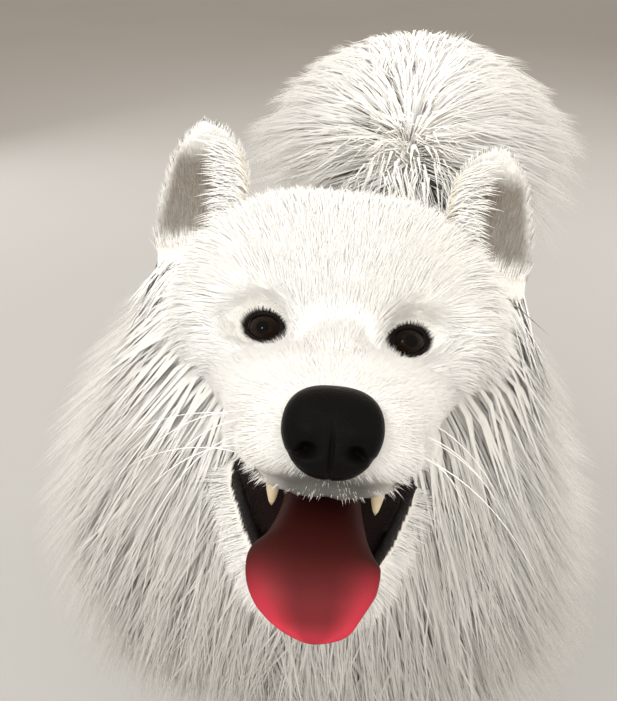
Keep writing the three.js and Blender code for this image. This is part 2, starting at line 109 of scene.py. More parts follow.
def tangential(vectors: Array, normals: Array) -> Array:
    """The part of each vector that lies in the surface, made one long."""
    return unit(vectors - normals * np.sum(vectors * normals, axis=-1, keepdims=True))


def to_line(points: Array, line: Array) -> Array:
    """Distance from each point to the nearest of the points along a line.

    Args:
        points: places, (n, 3).
        line: places along the line, (m, 3).

    Returns:
        The distances, (n,).
    """
    best = np.full(len(points), np.inf)
    for place in line:
        best = np.minimum(best, np.sum((points - place) ** 2, axis=1))
    return np.sqrt(best)


def catmull_rom(stations: Array, s: Array) -> tuple[Array, Array]:
    """Values and slopes of the smooth curve that passes through the stations at even steps of s.

    Between two stations it is the cubic whose end slopes are half the difference of the neighbours.

    Args:
        stations: one row a station, (n, k).
        s: places from 0 to 1, of any shape.

    Returns:
        The values and the slopes a station, each of the shape of s with k at the end.
    """
    padded = np.vstack([2 * stations[0] - stations[1], stations, 2 * stations[-1] - stations[-2]])
    u = np.clip(s, 0.0, 1.0) * (len(stations) - 1)
    i = np.minimum(u.astype(int), len(stations) - 2)
    w = (u - i)[..., None]
    before, start, end, after = (padded[i + k] for k in range(4))
    leave, arrive = (end - before) / 2, (after - start) / 2
    square = 3 * (end - start) - 2 * leave - arrive
    cube = 2 * (start - end) + leave + arrive
    return start + (leave + (square + cube * w) * w) * w, leave + (2 * square + 3 * cube * w) * w


# The row's frame and the head's frame


def turned(axis: int, degrees: float) -> Array:
    """The matrix of a turn about the X (0), Y (1) or Z (2) axis.

    Args:
        axis: 0, 1 or 2.
        degrees: the turn.

    Returns:
        The matrix, (3, 3).
    """
    c, s = math.cos(math.radians(degrees)), math.sin(math.radians(degrees))
    a, b = [(1, 2), (2, 0), (0, 1)][axis]
    matrix = np.eye(3)
    matrix[a, a] = matrix[b, b] = c
    matrix[b, a], matrix[a, b] = s, -s
    return matrix


@dataclass
class Frames:
    """Ways between the dog's frame, its head's frame and the row's frame in metres."""

    turn: Array = field(init=False)
    shift: Array = field(init=False)

    def __post_init__(self) -> None:
        """Finds the row's shift from where the pack put the eyes."""
        self.turn = turned(2, HEAD_TURN) @ turned(0, -HEAD_PITCH) @ turned(1, HEAD_TILT)
        corners = [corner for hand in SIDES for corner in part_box(f"eye_{hand}")]
        packed = np.mean([list(corner) for corner in corners], axis=0) / MM
        self.shift = packed - self.from_head(np.array([0.0, EYE_CENTRE[1], EYE_CENTRE[2]]))

    def from_head(self, points: Array) -> Array:
        """The dog's frame from the head's."""
        return points @ self.turn.T + np.array(HEAD_AT, float)

    def along_head(self, directions: Array) -> Array:
        """Directions in the dog's frame from the head's."""
        return directions @ self.turn.T

    def to_head(self, points: Array) -> Array:
        """The head's frame from the dog's."""
        return (points - np.array(HEAD_AT, float)) @ self.turn

    def metres(self, points: Array) -> Array:
        """The row's frame in metres from the dog's."""
        return (points + self.shift) * MM

    def millimetres(self, points: Array) -> Array:
        """The dog's frame from the row's frame in metres."""
        return points / MM - self.shift


FRAMES = Frames()


# Lofts: the same tubes of oval sections that the solids are made from


@dataclass
class Loft:
    """A tube of oval sections along a smooth path.

    A station is x, y, z, the skin's half sizes (side, over, under) and the coat's depth on each. Side is
    along X made square to the path, and over is side x tangent. A point at angle a is the centre plus
    side * cos(a)^(2/fullness) * width plus over * sin(a)^(2/fullness) * height, shrunk by a quarter
    ellipse towards both ends, and its sides hang by sag * share * cos(a)^2. Fuller is added to the
    fullness from a little past the middle on.
    """

    stations: list[tuple[float, ...]]
    blunt: tuple[float, float] = (0.1, 0.1)
    fullness: float = 2.0
    fuller: float = 0.0
    sag: float = 0.0

    def __post_init__(self) -> None:
        """Turns the table into one array."""
        rows = np.array(self.stations, float)
        self.table = np.hstack([rows, np.zeros((len(rows), 9 - rows.shape[1]))])

    def frame(self, s: Array) -> tuple[Array, Array, Array, Array, Array]:
        """Values, centre, tangent, side and over at s.

        Args:
            s: places along the path from 0 to 1, of any shape.

        Returns:
            Arrays of the shape of s with nine values, or three coordinates, at the end.
        """
        values, slopes = catmull_rom(self.table, s)
        tangent = unit(slopes[..., :3])
        side = unit(np.array([1.0, 0, 0]) - tangent * tangent[..., :1])
        return values, values[..., :3], tangent, side, np.cross(side, tangent)

    def point(self, s: Array, angle: Array, share: Array | float) -> Array:
        """Places at s, at an angle in radians, and at a share of the coat's depth.

        Args:
            s: places along the path from 0 to 1.
            angle: angles round it in radians, of the same shape.
            share: 0 for the skin to 1 for the coat's surface.

        Returns:
            Places in the loft's own frame.
        """
        values, centre, _, side, over = self.frame(s)
        inward = np.minimum(1.0, np.minimum(s / self.blunt[0], (1 - s) / self.blunt[1]))
        rounding = np.sqrt(np.maximum(0.0, 1 - (1 - inward) ** 2))
        share = np.broadcast_to(share, np.shape(angle))
        up = np.sin(angle) >= 0
        height = np.where(up, values[..., 4], values[..., 5])
        height = height + share * np.where(up, values[..., 7], values[..., 8])
        width = values[..., 3] + share * values[..., 6]
        power = 2 / (self.fullness + self.fuller * smooth(s, 0.55, 0.78))
        across = np.sign(np.cos(angle)) * np.abs(np.cos(angle)) ** power * width * rounding
        along = np.sign(np.sin(angle)) * np.abs(np.sin(angle)) ** power * height * rounding
        made = centre + side * across[..., None] + over * along[..., None]
        made[..., 2] -= self.sag * share * np.cos(angle) ** 2
        return made

    def surface(self, around: int, along: int) -> Surface:
        """The skin's closed tube, with a pole at each end."""
        tilt, angle = sphere_angles(along, around)
        grid = self.point((1 - np.cos(tilt)) / 2, angle, 0.0)
        ends, _ = catmull_rom(self.table, np.array([0.0, 1.0]))
        return close_grid(grid, ends[0, :3], ends[1, :3])

    def holds(self, points: Array, margin: float) -> Array:
        """Whether each point is inside the skin's tube, judged in the section of the nearest centre.

        Args:
            points: places, (n, 3).
            margin: the share of the section's size that counts.

        Returns:
            True or false for each, (n,).
        """
        s = np.linspace(0.02, 0.98, 60)
        _, centre, *_ = self.frame(s)
        nearest = np.argmin(((points[:, None] - centre[None]) ** 2).sum(2), axis=1)
        values, centre, tangent, side, over = self.frame(s[nearest])
        away = points - centre
        x, y = (away * side).sum(1), (away * over).sum(1)
        height = np.where(y >= 0, values[:, 4], values[:, 5])
        radius = np.abs(x / values[:, 3]) ** self.fullness + np.abs(y / height) ** self.fullness
        inside_ends = np.abs((away * tangent).sum(1)) < 25
        return (radius < margin) & inside_ends


def sphere_angles(rings: int, around: int) -> tuple[Array, Array]:
    """Angles from a first pole and round it, as two grids that leave the poles out."""
    turn = np.linspace(0, 2 * np.pi, around, endpoint=False)
    tilt, turn = np.meshgrid(np.linspace(0, np.pi, rings + 1)[1:-1], turn, indexing="ij")
    return tilt, turn


def close_grid(grid: Array, first: Array, last: Array) -> Surface:
    """A closed skin over rings of points, with a fan to a pole at each end.

    Args:
        grid: rings of places, (rings, around, 3).
        first: the pole before the first ring.
        last: the pole after the last ring.

    Returns:
        Vertices and faces.
    """
    rings, around, _ = grid.shape
    vertices = np.vstack([grid.reshape(-1, 3), first, last])
    i, j = np.meshgrid(np.arange(rings - 1), np.arange(around), indexing="ij")
    here, there = i * around + j, i * around + (j + 1) % around
    quads = np.stack([here, there, there + around, here + around], -1).reshape(-1, 4)
    turn = np.arange(around)
    after = (turn + 1) % around
    pole, end = rings * around, (rings - 1) * around
    start_fan = np.stack([after, turn, np.full(around, pole)], -1)
    end_fan = np.stack([end + turn, end + after, np.full(around, pole + 1)], -1)
    return vertices, quads.tolist() + start_fan.tolist() + end_fan.tolist()


def ellipsoid(centre: tuple, radii: tuple, around: int = 32, rings: int = 18) -> Surface:
    """A closed ellipsoid: centre plus radii times the sine and cosine of two angles, poles along Y."""
    a, b = sphere_angles(rings, around)
    grid = np.stack([np.sin(a) * np.cos(b), -np.cos(a), np.sin(a) * np.sin(b)], -1) * np.array(radii, float)
    middle, pole = np.array(centre, float), np.array([0.0, radii[1], 0.0])
    return close_grid(grid + middle, middle - pole, middle + pole)


def sweep(path: Array, radii: Array, around: int, up: tuple = (0, 0, 1)) -> Surface:
    """A closed round tube: rings of the given radii square to a path, each end closed by a fan.

    Args:
        path: places along the middle, (n, 3).
        radii: the radius at each place, (n,).
        around: points a ring.
        up: a direction that isn't along the path, which keeps the rings from twisting.

    Returns:
        Vertices and faces.
    """
    tangent = unit(np.gradient(path, axis=0))
    side = unit(np.cross(tangent, np.array(up, float)))
    over = np.cross(side, tangent)
    turn = np.linspace(0, 2 * np.pi, around, endpoint=False)
    ring = np.cos(turn)[None, :, None] * side[:, None] + np.sin(turn)[None, :, None] * over[:, None]
    grid = path[:, None] + ring * np.asarray(radii, float)[:, None, None]
    return close_grid(grid, path[0], path[-1])


# Meshes and objects


def made_outward(vertices: Array, faces: list) -> list:
    """The faces, turned over if the closed surface encloses a negative volume.

    Args:
        vertices: places, (n, 3).
        faces: lists of vertex numbers.

    Returns:
        The faces in the order that makes them look out.
    """
    fans = np.array([[f[0], f[k], f[k + 1]] for f in faces for k in range(1, len(f) - 1)])
    a, b, c = (vertices[fans[:, k]] for k in range(3))
    if np.einsum("ij,ij->i", a, np.cross(b, c)).sum() < 0:
        return [face[::-1] for face in faces]
    return faces


def join(parts: list[Surface]) -> Surface:
    """Several surfaces as one list of vertices and faces, each turned outward.

    Args:
        parts: closed surfaces.

    Returns:
        Vertices and faces of all of them.
    """
    vertices, faces, start = [], [], 0
    for points, polygons in parts:
        points = np.asarray(points, float)
        vertices.append(points)
        faces += [[start + i for i in face] for face in made_outward(points, polygons)]
        start += len(points)
    return np.vstack(vertices), faces


def new_object(name: str, vertices: Array, faces: list | Array) -> Piece:
    """An object at the origin from vertices in the dog's frame, with smooth faces.

    Args:
        name: the piece's name.
        vertices: places in the dog's frame, (n, 3).
        faces: lists of vertex numbers, or triangles as an array.

    Returns:
        The object, in the scene.
    """
    mesh = bpy.data.meshes.new(name)
    placed = FRAMES.metres(np.asarray(vertices, float))
    if isinstance(faces, np.ndarray):
        mesh.vertices.add(len(placed))
        mesh.vertices.foreach_set("co", placed.astype(np.float32).ravel())
        mesh.loops.add(faces.size)
        mesh.loops.foreach_set("vertex_index", faces.astype(np.int32).ravel())
        mesh.polygons.add(len(faces))
        mesh.polygons.foreach_set("loop_start", np.arange(0, faces.size, 3, dtype=np.int32))
        mesh.update(calc_edges=True)
    else:
        mesh.from_pydata(placed.tolist(), [], faces)
    mesh.polygons.foreach_set("use_smooth", np.ones(len(mesh.polygons), bool))
    mesh.update()
    made = bpy.data.objects.new(name, mesh)
    bpy.context.scene.collection.objects.link(made)
    return made


def head_piece(name: str, vertices: Array, faces: list) -> Piece:
    """A piece from vertices in the head's frame, with its faces outward."""
    return new_object(name, FRAMES.from_head(vertices), made_outward(vertices, faces))


def apply_modifiers(made: Piece) -> None:
    """Replaces an object's mesh by what its modifiers make of it."""
    graph = bpy.context.evaluated_depsgraph_get()
    mesh = bpy.data.meshes.new_from_object(made.evaluated_get(graph))
    made.modifiers.clear()
    old, made.data = made.data, mesh
    bpy.data.meshes.remove(old)


def read(items: bpy.types.bpy_prop_collection, name: str) -> Array:
    """A vector of each of a mesh's items, (n, 3)."""
    flat = np.zeros(len(items) * 3, np.float32)
    items.foreach_get(name, flat)
    return flat.reshape(-1, 3).astype(float)


def coordinates(made: Piece) -> Array:
    """The vertices of an object in the dog's frame."""
    return FRAMES.millimetres(read(made.data.vertices, "co"))


def move_to(made: Piece, points: Array) -> None:
    """Moves the vertices of an object to places in the dog's frame."""
    made.data.vertices.foreach_set("co", FRAMES.metres(points).astype(np.float32).ravel())
    made.data.update()


def paint(made: Piece, name: str, values: Array) -> None:
    """Stores four numbers a vertex as a named attribute that a material reads.

    Args:
        made: the object.
        name: the attribute's name.
        values: up to four numbers a vertex, (n, k).
    """
    full = np.ones((len(made.data.vertices), 4), np.float32)
    full[:, : values.shape[1]] = values
    layer = made.data.color_attributes.new(name, "FLOAT_COLOR", "POINT")
    layer.data.foreach_set("color", full.ravel())


def finished(made: Piece, slot: Slot, material: Material, *nodes: str) -> Piece:
    """Gives a piece its material, hides the solids that it stands for, logs its slot, and lets it ride.

    Args:
        made: the piece.
        slot: the record's slot for its finish.
        material: its material.
        nodes: the solids that it replaces.

    Returns:
        The piece.
    """
    made.data.materials.clear()
    made.data.materials.append(material)
    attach(made, BODY)
    if nodes:
        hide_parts(*nodes)
    made.data.calc_loop_triangles()
    log.info("%s: %d triangles, %s", made.name, len(made.data.loop_triangles), slot.value)
    return made


# Finishes


@dataclass
class Nodes:
    """The nodes of one material."""

    material: Material

    def node(self, kind: str, **settings: object) -> bpy.types.Node:
        """Adds a node.

        Args:
            kind: Blender's name of the node.
            settings: the node's own options by name, and its inputs by name, or by number after a low
                line, each with its value or the socket that feeds it.

        Returns:
            The node.
        """
        made = self.material.node_tree.nodes.new(kind)
        options = {name: value for name, value in settings.items() if hasattr(made, name)}
        for name, value in options.items():
            setattr(made, name, value)
        for name, value in settings.items():
            if name in options:
                continue
            socket = made.inputs[int(name[1:])] if name[0] == "_" else made.inputs[name.replace("_", " ")]
            if isinstance(value, Socket):
                self.material.node_tree.links.new(value, socket)
            else:
                socket.default_value = value
        return made

    def mix(self, share: object, first: object, second: object) -> Socket:
        """A colour between two colours or sockets, by a share or a socket."""
        made = self.node("ShaderNodeMix", data_type="RGBA", _0=share, _6=first, _7=second)
        return made.outputs[2]

    def noise(self, vector: Socket, scale: float, detail: float = 3.0) -> Socket:
        """The value of a noise texture read at a vector."""
        made = self.node("ShaderNodeTexNoise", Vector=vector, Scale=scale, Detail=detail)
        return made.outputs["Fac"]

    def cells(self, vector: Socket, scale: float) -> Socket:
        """The distance from the middle of rounded cells, read at a vector."""
        return self.node("ShaderNodeTexVoronoi", Vector=vector, Scale=scale).outputs["Distance"]

    def ranged(self, value: Socket, low: float, high: float) -> Socket:
        """A number that goes from low to high as the value goes from zero to one."""
        return self.node("ShaderNodeMapRange", Value=value, To_Min=low, To_Max=high).outputs[0]

    def ramp(self, value: Socket, *stops: tuple[float, float]) -> Socket:
        """A number read off a straight line between two pairs of value and result.

        Args:
            value: the number to look up.
            stops: two pairs of value and result.

        Returns:
            The result as a colour with the same value in each channel.
        """
        made = self.node("ShaderNodeValToRGB", Fac=value)
        for element, (place, level) in zip(made.color_ramp.elements, stops):
            element.position = place
            element.color = (level, level, level, 1)
        return made.outputs["Color"]

    def bump(self, height: Socket, strength: float, distance: float) -> Socket:
        """A normal bent by a height."""
        made = self.node("ShaderNodeBump", Height=height, Strength=strength, Distance=distance)
        return made.outputs["Normal"]

    def place(self) -> Socket:
        """Object coordinates, in metres."""
        return self.node("ShaderNodeTexCoord").outputs["Object"]

    def painted(self, name: str) -> tuple[Socket, list[Socket]]:
        """A painted attribute as a vector, and its three numbers apart."""
        made = self.node("ShaderNodeAttribute", attribute_name=name)
        apart = self.node("ShaderNodeSeparateColor", Color=made.outputs["Color"])
        return made.outputs["Vector"], list(apart.outputs)[:3]


@dataclass(frozen=True)
class Finish:
    """A procedural material with the shader's constants set on its own sockets."""

    name: str
    roughness: float = 0.6
    specular: float = 0.5
    sheen: float = 0.0

    def build(self) -> Material:
        """The material, with its patterns joined to the shader."""
        material = bpy.data.materials.new(self.name)
        material.use_nodes = True
        shader = material.node_tree.nodes["Principled BSDF"]
        shader.inputs["Roughness"].default_value = self.roughness
        shader.inputs["Specular IOR Level"].default_value = self.specular
        shader.inputs["Sheen Weight"].default_value = self.sheen
        shader.inputs["Sheen Roughness"].default_value = 0.5
        for name, socket in self.patterns(Nodes(material)).items():
            material.node_tree.links.new(socket, shader.inputs[name])
        return material

    def patterns(self, nodes: Nodes) -> dict[str, Socket]:
        """What feeds each of the shader's inputs that isn't a constant."""
        raise NotImplementedError


@dataclass(frozen=True)
class CoatFinish(Finish):
    """White hair: cream at the root, whiter at the tip, each tuft a little lighter or darker.

    The attribute hair holds how light the tuft is, the place along it, and how far it takes the dark colour,
    which is dark skin seen through the hair and painted shade. The face's hair is set less light than the
    rest, which is painted shade too.
    """

    root: tuple = (0.85, 0.78, 0.65, 1)
    tip: tuple = (0.965, 0.955, 0.925, 1)
    stain: tuple = (0.92, 0.89, 0.80, 1)
    # Dark skin seen through the hair under the nose and in the ears, and painted shade on the ruff and in the
    # ears' hollows.
    dark_skin_and_shade: tuple = (0.16, 0.13, 0.095, 1)

    def patterns(self, nodes: Nodes) -> dict[str, Socket]:
        """The hair's colour."""
        _, (tone, along, mark) = nodes.painted("hair")
        colour = nodes.mix(nodes.ramp(along, (0.0, 0.0), (0.55, 1.0)), self.root, self.tip)
        cloudy = nodes.noise(nodes.place(), 9.0)
        colour = nodes.mix(nodes.ramp(cloudy, (0.5, 0.0), (0.75, 0.5)), colour, self.stain)
        shade = nodes.ranged(tone, 0.84, 1.04)
        shaded = nodes.node("ShaderNodeVectorMath", operation="SCALE", _0=colour, Scale=shade)
        return {"Base Color": nodes.mix(mark, shaded.outputs[0], self.dark_skin_and_shade)}


@dataclass(frozen=True)
class SkinFinish(Finish):
    """Short white hair on skin, black lips, a dark mouth and the brown inside of the ears.

    The attribute mark holds black leather, ear brown and mouth lining; the ear brown is partly the skin's own
    colour and partly painted shade of the hollow. Lie is a vector that runs slowly along the hair and fast
    across it, so that noise read at it makes streaks.
    """

    white: tuple = ((0.76, 0.73, 0.67, 1), (0.88, 0.865, 0.82, 1))
    # Ear brown: partly the ear skin's own colour, partly painted shade of the hollow.
    brown: tuple = (0.17, 0.135, 0.09, 1)
    lining: tuple = (0.010, 0.004, 0.004, 1)
    leather: tuple = (0.012, 0.010, 0.010, 1)

    def patterns(self, nodes: Nodes) -> dict[str, Socket]:
        """Colour, a gloss where the skin is wet, and streaks in relief."""
        _, (black, ear, wet) = nodes.painted("mark")
        lie, _ = nodes.painted("lie")
        streaks = nodes.noise(lie, 1.0, 4.0)
        colour = nodes.mix(ear, nodes.mix(streaks, *self.white), self.brown)
        colour = nodes.mix(wet, colour, self.lining)
        dark = nodes.node("ShaderNodeMath", operation="MAXIMUM", _0=black, _1=wet).outputs[0]
        return {
            "Base Color": nodes.mix(black, colour, self.leather),
            "Roughness": nodes.ranged(dark, 0.85, 0.42),
            "Normal": nodes.bump(streaks, 0.6, 0.0016),
        }


@dataclass(frozen=True)
class NoseFinish(Finish):
    """Black pebbled leather: rounded cells a millimetre and a half across, with an uneven gloss."""

    dark: tuple = (0.0016, 0.0015, 0.0013, 1)
    light: tuple = (0.005, 0.0046, 0.004, 1)

    def patterns(self, nodes: Nodes) -> dict[str, Socket]:
        """Colour, gloss and pebbles."""
        place = nodes.place()
        fine = nodes.noise(place, 900.0)
        pebbles = nodes.cells(place, 760.0)
        height = nodes.node("ShaderNodeMath", operation="ADD", _0=pebbles, _1=fine).outputs[0]
        return {
            "Base Color": nodes.mix(nodes.noise(place, 60.0), self.dark, self.light),
            "Normal": nodes.bump(height, 0.22, 0.0006),
            "Roughness": nodes.ranged(fine, 0.38, 0.6),
        }


@dataclass(frozen=True)
class WetLeatherFinish(Finish):
    """Wet black skin of the lids and claws, with a fine uneven grain."""

    dark: tuple = (0.004, 0.0035, 0.0035, 1)
    light: tuple = (0.010, 0.008, 0.0075, 1)

    def patterns(self, nodes: Nodes) -> dict[str, Socket]:
        """Colour and grain."""
        grain = nodes.noise(nodes.place(), 450.0)
        colour = nodes.mix(grain, self.dark, self.light)
        return {"Base Color": colour, "Normal": nodes.bump(grain, 0.25, 0.0006)}


@dataclass(frozen=True)
class TongueFinish(Finish):
    """A wet tongue: dark red far in, rose at the edge, with small papillae.

    The attribute flesh holds how far the place is out of the painted shadow, which lies far into the mouth
    and down the middle under the muzzle, and how near the edge.
    """

    flesh: tuple = ((0.30, 0.022, 0.034, 1), (0.40, 0.038, 0.052, 1))
    rose: tuple = (0.50, 0.036, 0.060, 1)
    # Painted shadow: near black red for the tongue far in the mouth and down its middle under the muzzle.
    painted_shadow: tuple = (0.034, 0.006, 0.005, 1)

    def patterns(self, nodes: Nodes) -> dict[str, Socket]:
        """Colour and papillae."""
        _, (out, edge, _) = nodes.painted("flesh")
        place = nodes.place()
        flesh = nodes.mix(nodes.noise(place, 90.0), *self.flesh)
        # Painted shadow far in and down the middle, flesh where the place is out of it, rose at the edge.
        colour = nodes.mix(out, self.painted_shadow, nodes.mix(edge, flesh, self.rose))
        return {
            "Base Color": colour,
            "Normal": nodes.bump(nodes.cells(place, 1300.0), 0.12, 0.0004),
        }


@dataclass(frozen=True)
class EyeFinish(Finish):
    """An eye: black pupil, brown iris with darker fibres, dark ring, and a brownish white.

    The attribute gaze holds a place round the line of sight, as the angle away from it in two directions.
    """

    iris: tuple = ((0.004, 0.0022, 0.0014, 1), (0.012, 0.006, 0.0035, 1))
    ring: tuple = (0.006, 0.004, 0.003, 1)
    white: tuple = (0.05, 0.03, 0.025, 1)
    pupil: tuple = (0.001, 0.001, 0.001, 1)

    def patterns(self, nodes: Nodes) -> dict[str, Socket]:
        """Colour, by the angle away from the line of sight in radians."""
        gaze, _ = nodes.painted("gaze")
        away = nodes.node("ShaderNodeVectorMath", operation="LENGTH", _0=gaze).outputs["Value"]
        around = nodes.node("ShaderNodeVectorMath", operation="NORMALIZE", _0=gaze).outputs[0]
        colour = nodes.mix(nodes.noise(around, 14.0, 5.0), *self.iris)
        colour = nodes.mix(nodes.ramp(away, (0.46, 0.0), (0.66, 1.0)), colour, self.ring)
        colour = nodes.mix(nodes.ramp(away, (0.74, 0.0), (0.80, 1.0)), colour, self.white)
        colour = nodes.mix(nodes.ramp(away, (0.25, 1.0), (0.30, 0.0)), colour, self.pupil)
        return {"Base Color": colour}


@dataclass(frozen=True)
class PlainFinish(Finish):
    """One colour that varies a little: tooth enamel from cream to pale, or a plain pale floor."""

    dark: tuple = (0.40, 0.395, 0.385, 1)
    light: tuple = (0.44, 0.435, 0.425, 1)
    scale: float = 1.5

    def patterns(self, nodes: Nodes) -> dict[str, Socket]:
        """Colour."""
        cloudy = nodes.noise(nodes.place(), self.scale)
        return {"Base Color": nodes.mix(cloudy, self.dark, self.light)}


# The dog's own shapes, from the tables that the solids have

SKULL = Loft(
    [
        (0, -99, -31, 18, 14, 16, 2, 2, 2),
        (0, -88, -31, 30, 19, 22.5, 3, 3, 2),
        (0, -62, -30, 40, 21, 23.5, 4, 3, 4),
        (0, -34, -27, 47, 20, 24, 4, 5, 4),
        (0, -12, -24, 54, 22, 30, 4, 6, 3),
        (0, 6, -15, 63, 38, 38, 7, 7, 4),
        (0, 22, -9, 71, 56, 44, 13, 8, 10),
        (0, 48, -4, 80, 68, 60, 18, 12, 10),
        (0, 78, -8, 86, 71, 66, 18, 15, 12),
        (0, 108, -16, 76, 60, 56, 16, 16, 14),
        (0, 130, -24, 50, 38, 28, 10, 12, 16),
    ],
    blunt=(0.08, 0.12),
    fuller=0.8,
)
BRIDGE = Loft(
    [
        (0, -44, -18, 12, 8, 8),
        (0, -22, -12, 16, 12, 8),
        (0, -6, -4, 19, 15, 8),
        (0, 6, 6, 21, 17, 8),
        (0, 22, 18, 24, 22, 10),
    ],
    blunt=(0.2, 0.1),
)
JAW = Loft(
    [
        (0, -73, -103, 16, 7, 7),
        (0, -60, -99, 26, 9, 10),
        (0, -36, -90, 35, 11, 13),
        (0, -10, -80, 44, 13, 17),
        (0, 16, -72, 52, 15, 23),
        (0, 42, -66, 58, 17, 27),
    ],
    blunt=(0.14, 0.2),
)
NECK = Loft(
    [
        (-2, -190, 366, 84, 66, 70, 96, 54, 30),
        (-2, -236, 416, 92, 92, 84, 106, 66, 40),
        (-3, -270, 472, 90, 94, 80, 108, 74, 50),
        (-2, -288, 530, 84, 88, 72, 102, 74, 52),
        (4, -298, 586, 78, 80, 64, 84, 64, 48),
        (12, -306, 640, 72, 70, 58, 56, 48, 40),
        (18, -316, 686, 58, 56, 50, 32, 28, 22),
    ],
    blunt=(0.06, 0.12),
    fullness=2.8,
)
TRUNK = Loft(
    [
        (-2, -326, 372, 56, 50, 58, 62, 40, 44),
        (-2, -280, 384, 80, 80, 86, 84, 46, 50),
        (0, -215, 396, 92, 102, 106, 80, 46, 48),
        (0, -150, 402, 98, 114, 118, 66, 40, 46),
        (2, -70, 396, 100, 112, 116, 60, 40, 46),
        (5, 10, 396, 97, 106, 106, 60, 42, 46),
        (8, 90, 405, 88, 97, 88, 62, 44, 50),
        (10, 160, 416, 82, 85, 72, 68, 46, 58),
        (10, 220, 420, 82, 78, 66, 74, 48, 62),
        (10, 268, 418, 66, 64, 60, 76, 46, 66),
        (10, 300, 410, 42, 42, 46, 66, 44, 60),
    ],
    blunt=(0.08, 0.08),
)
TAIL = Loft(
    [
        (10, 268, 470, 26, 26, 26, 26, 30, 30),
        (11, 302, 512, 25, 25, 26, 74, 44, 46),
        (12, 314, 560, 23, 23, 24, 130, 60, 60),
        (14, 292, 610, 21, 21, 22, 166, 70, 64),
        (15, 240, 640, 19, 19, 20, 182, 74, 70),
        (15, 176, 644, 17, 17, 18, 186, 74, 72),
        (17, 112, 628, 14, 14, 15, 180, 64, 70),
        (20, 60, 598, 11, 11, 12, 162, 50, 60),
        (22, 24, 564, 8, 8, 8, 120, 36, 50),
    ],
    blunt=(0.05, 0.1),
    sag=50,
)
FORE_STANCE = 82
HIND_STANCE = 84


def fore_leg(side: int) -> Loft:
    """A foreleg from the elbow to the paw."""
    x = side * FORE_STANCE
    return Loft(
        [
            (x * 0.98, -160, 320, 36, 46, 44, 16, 20, 14),
            (x, -158, 270, 33, 38, 34, 16, 26, 12),
            (x, -166, 215, 27, 28, 25, 14, 26, 10),
            (x, -173, 150, 22, 22, 20, 12, 22, 9),
            (x, -178, 95, 21, 19, 20, 9, 12, 8),
            (x, -186, 50, 22, 18, 20, 8, 10, 8),
            (x, -192, 22, 22, 18, 20, 6, 8, 6),
        ],
        blunt=(0.1, 0.1),
    )


def hind_leg(side: int) -> Loft:
    """A hind leg from the hip to the paw."""
    x = side * HIND_STANCE
    return Loft(
        [
            (x * 0.8, 205, 430, 42, 62, 62, 40, 46, 26),
            (x * 0.95, 200, 375, 48, 76, 62, 40, 58, 26),
            (x * 1.02, 196, 325, 42, 70, 50, 34, 62, 22),
            (x * 1.02, 208, 275, 33, 50, 38, 26, 52, 16),
            (x, 232, 222, 24, 32, 26, 17, 32, 12),
            (x, 260, 170, 18, 22, 20, 11, 17, 9),
            (x, 272, 130, 18, 20, 19, 9, 12, 8),
            (x, 268, 85, 18, 17, 18, 8, 10, 8),
            (x, 258, 48, 20, 17, 18, 8, 9, 8),
            (x, 252, 22, 22, 17, 18, 6, 8, 6),
        ],
        blunt=(0.1, 0.08),
    )


@dataclass
class Paw:
    """A low arched foot with four toes and a claw on each."""

    x: float
    y: float
    toe: float = 11.0
    spread: float = 13.2

    def toes(self) -> list[tuple[float, float, float]]:
        """Offset, x and y of each toe's middle."""
        return [(i, self.x + i * self.spread, self.y - 40 + abs(i) * 6) for i in (-1.5, -0.5, 0.5, 1.5)]

    def parts(self) -> list[Surface]:
        """The foot and its toes, without the claws."""
        made = [ellipsoid((self.x, self.y - 12, 13), (26, 34, 20))]
        for _, x, y in self.toes():
            made.append(ellipsoid((x, y, 11), (self.toe - 2.5, 16, self.toe)))
        return made

    def claws(self) -> list[Surface]:
        """Each claw: a tapering tube along an arc that bends down from the end of the toe."""
        made = []
        for offset, x, y in self.toes():
            t = np.linspace(0, 1, 9)
            path = np.stack([x + offset * 1.2 * t, y - 12 - 13 * t, 13 - 2 * t - 7.5 * t * t], -1)
            radii = 3.3 * (1 - t) ** 0.7 + 0.25
            made.append(sweep(path, radii, 10, up=(1, 0, 0.1)))
        return made


PAWS = [Paw(side * x, y) for x, y in ((FORE_STANCE, -188), (HIND_STANCE, 248)) for side in SIDES.values()]


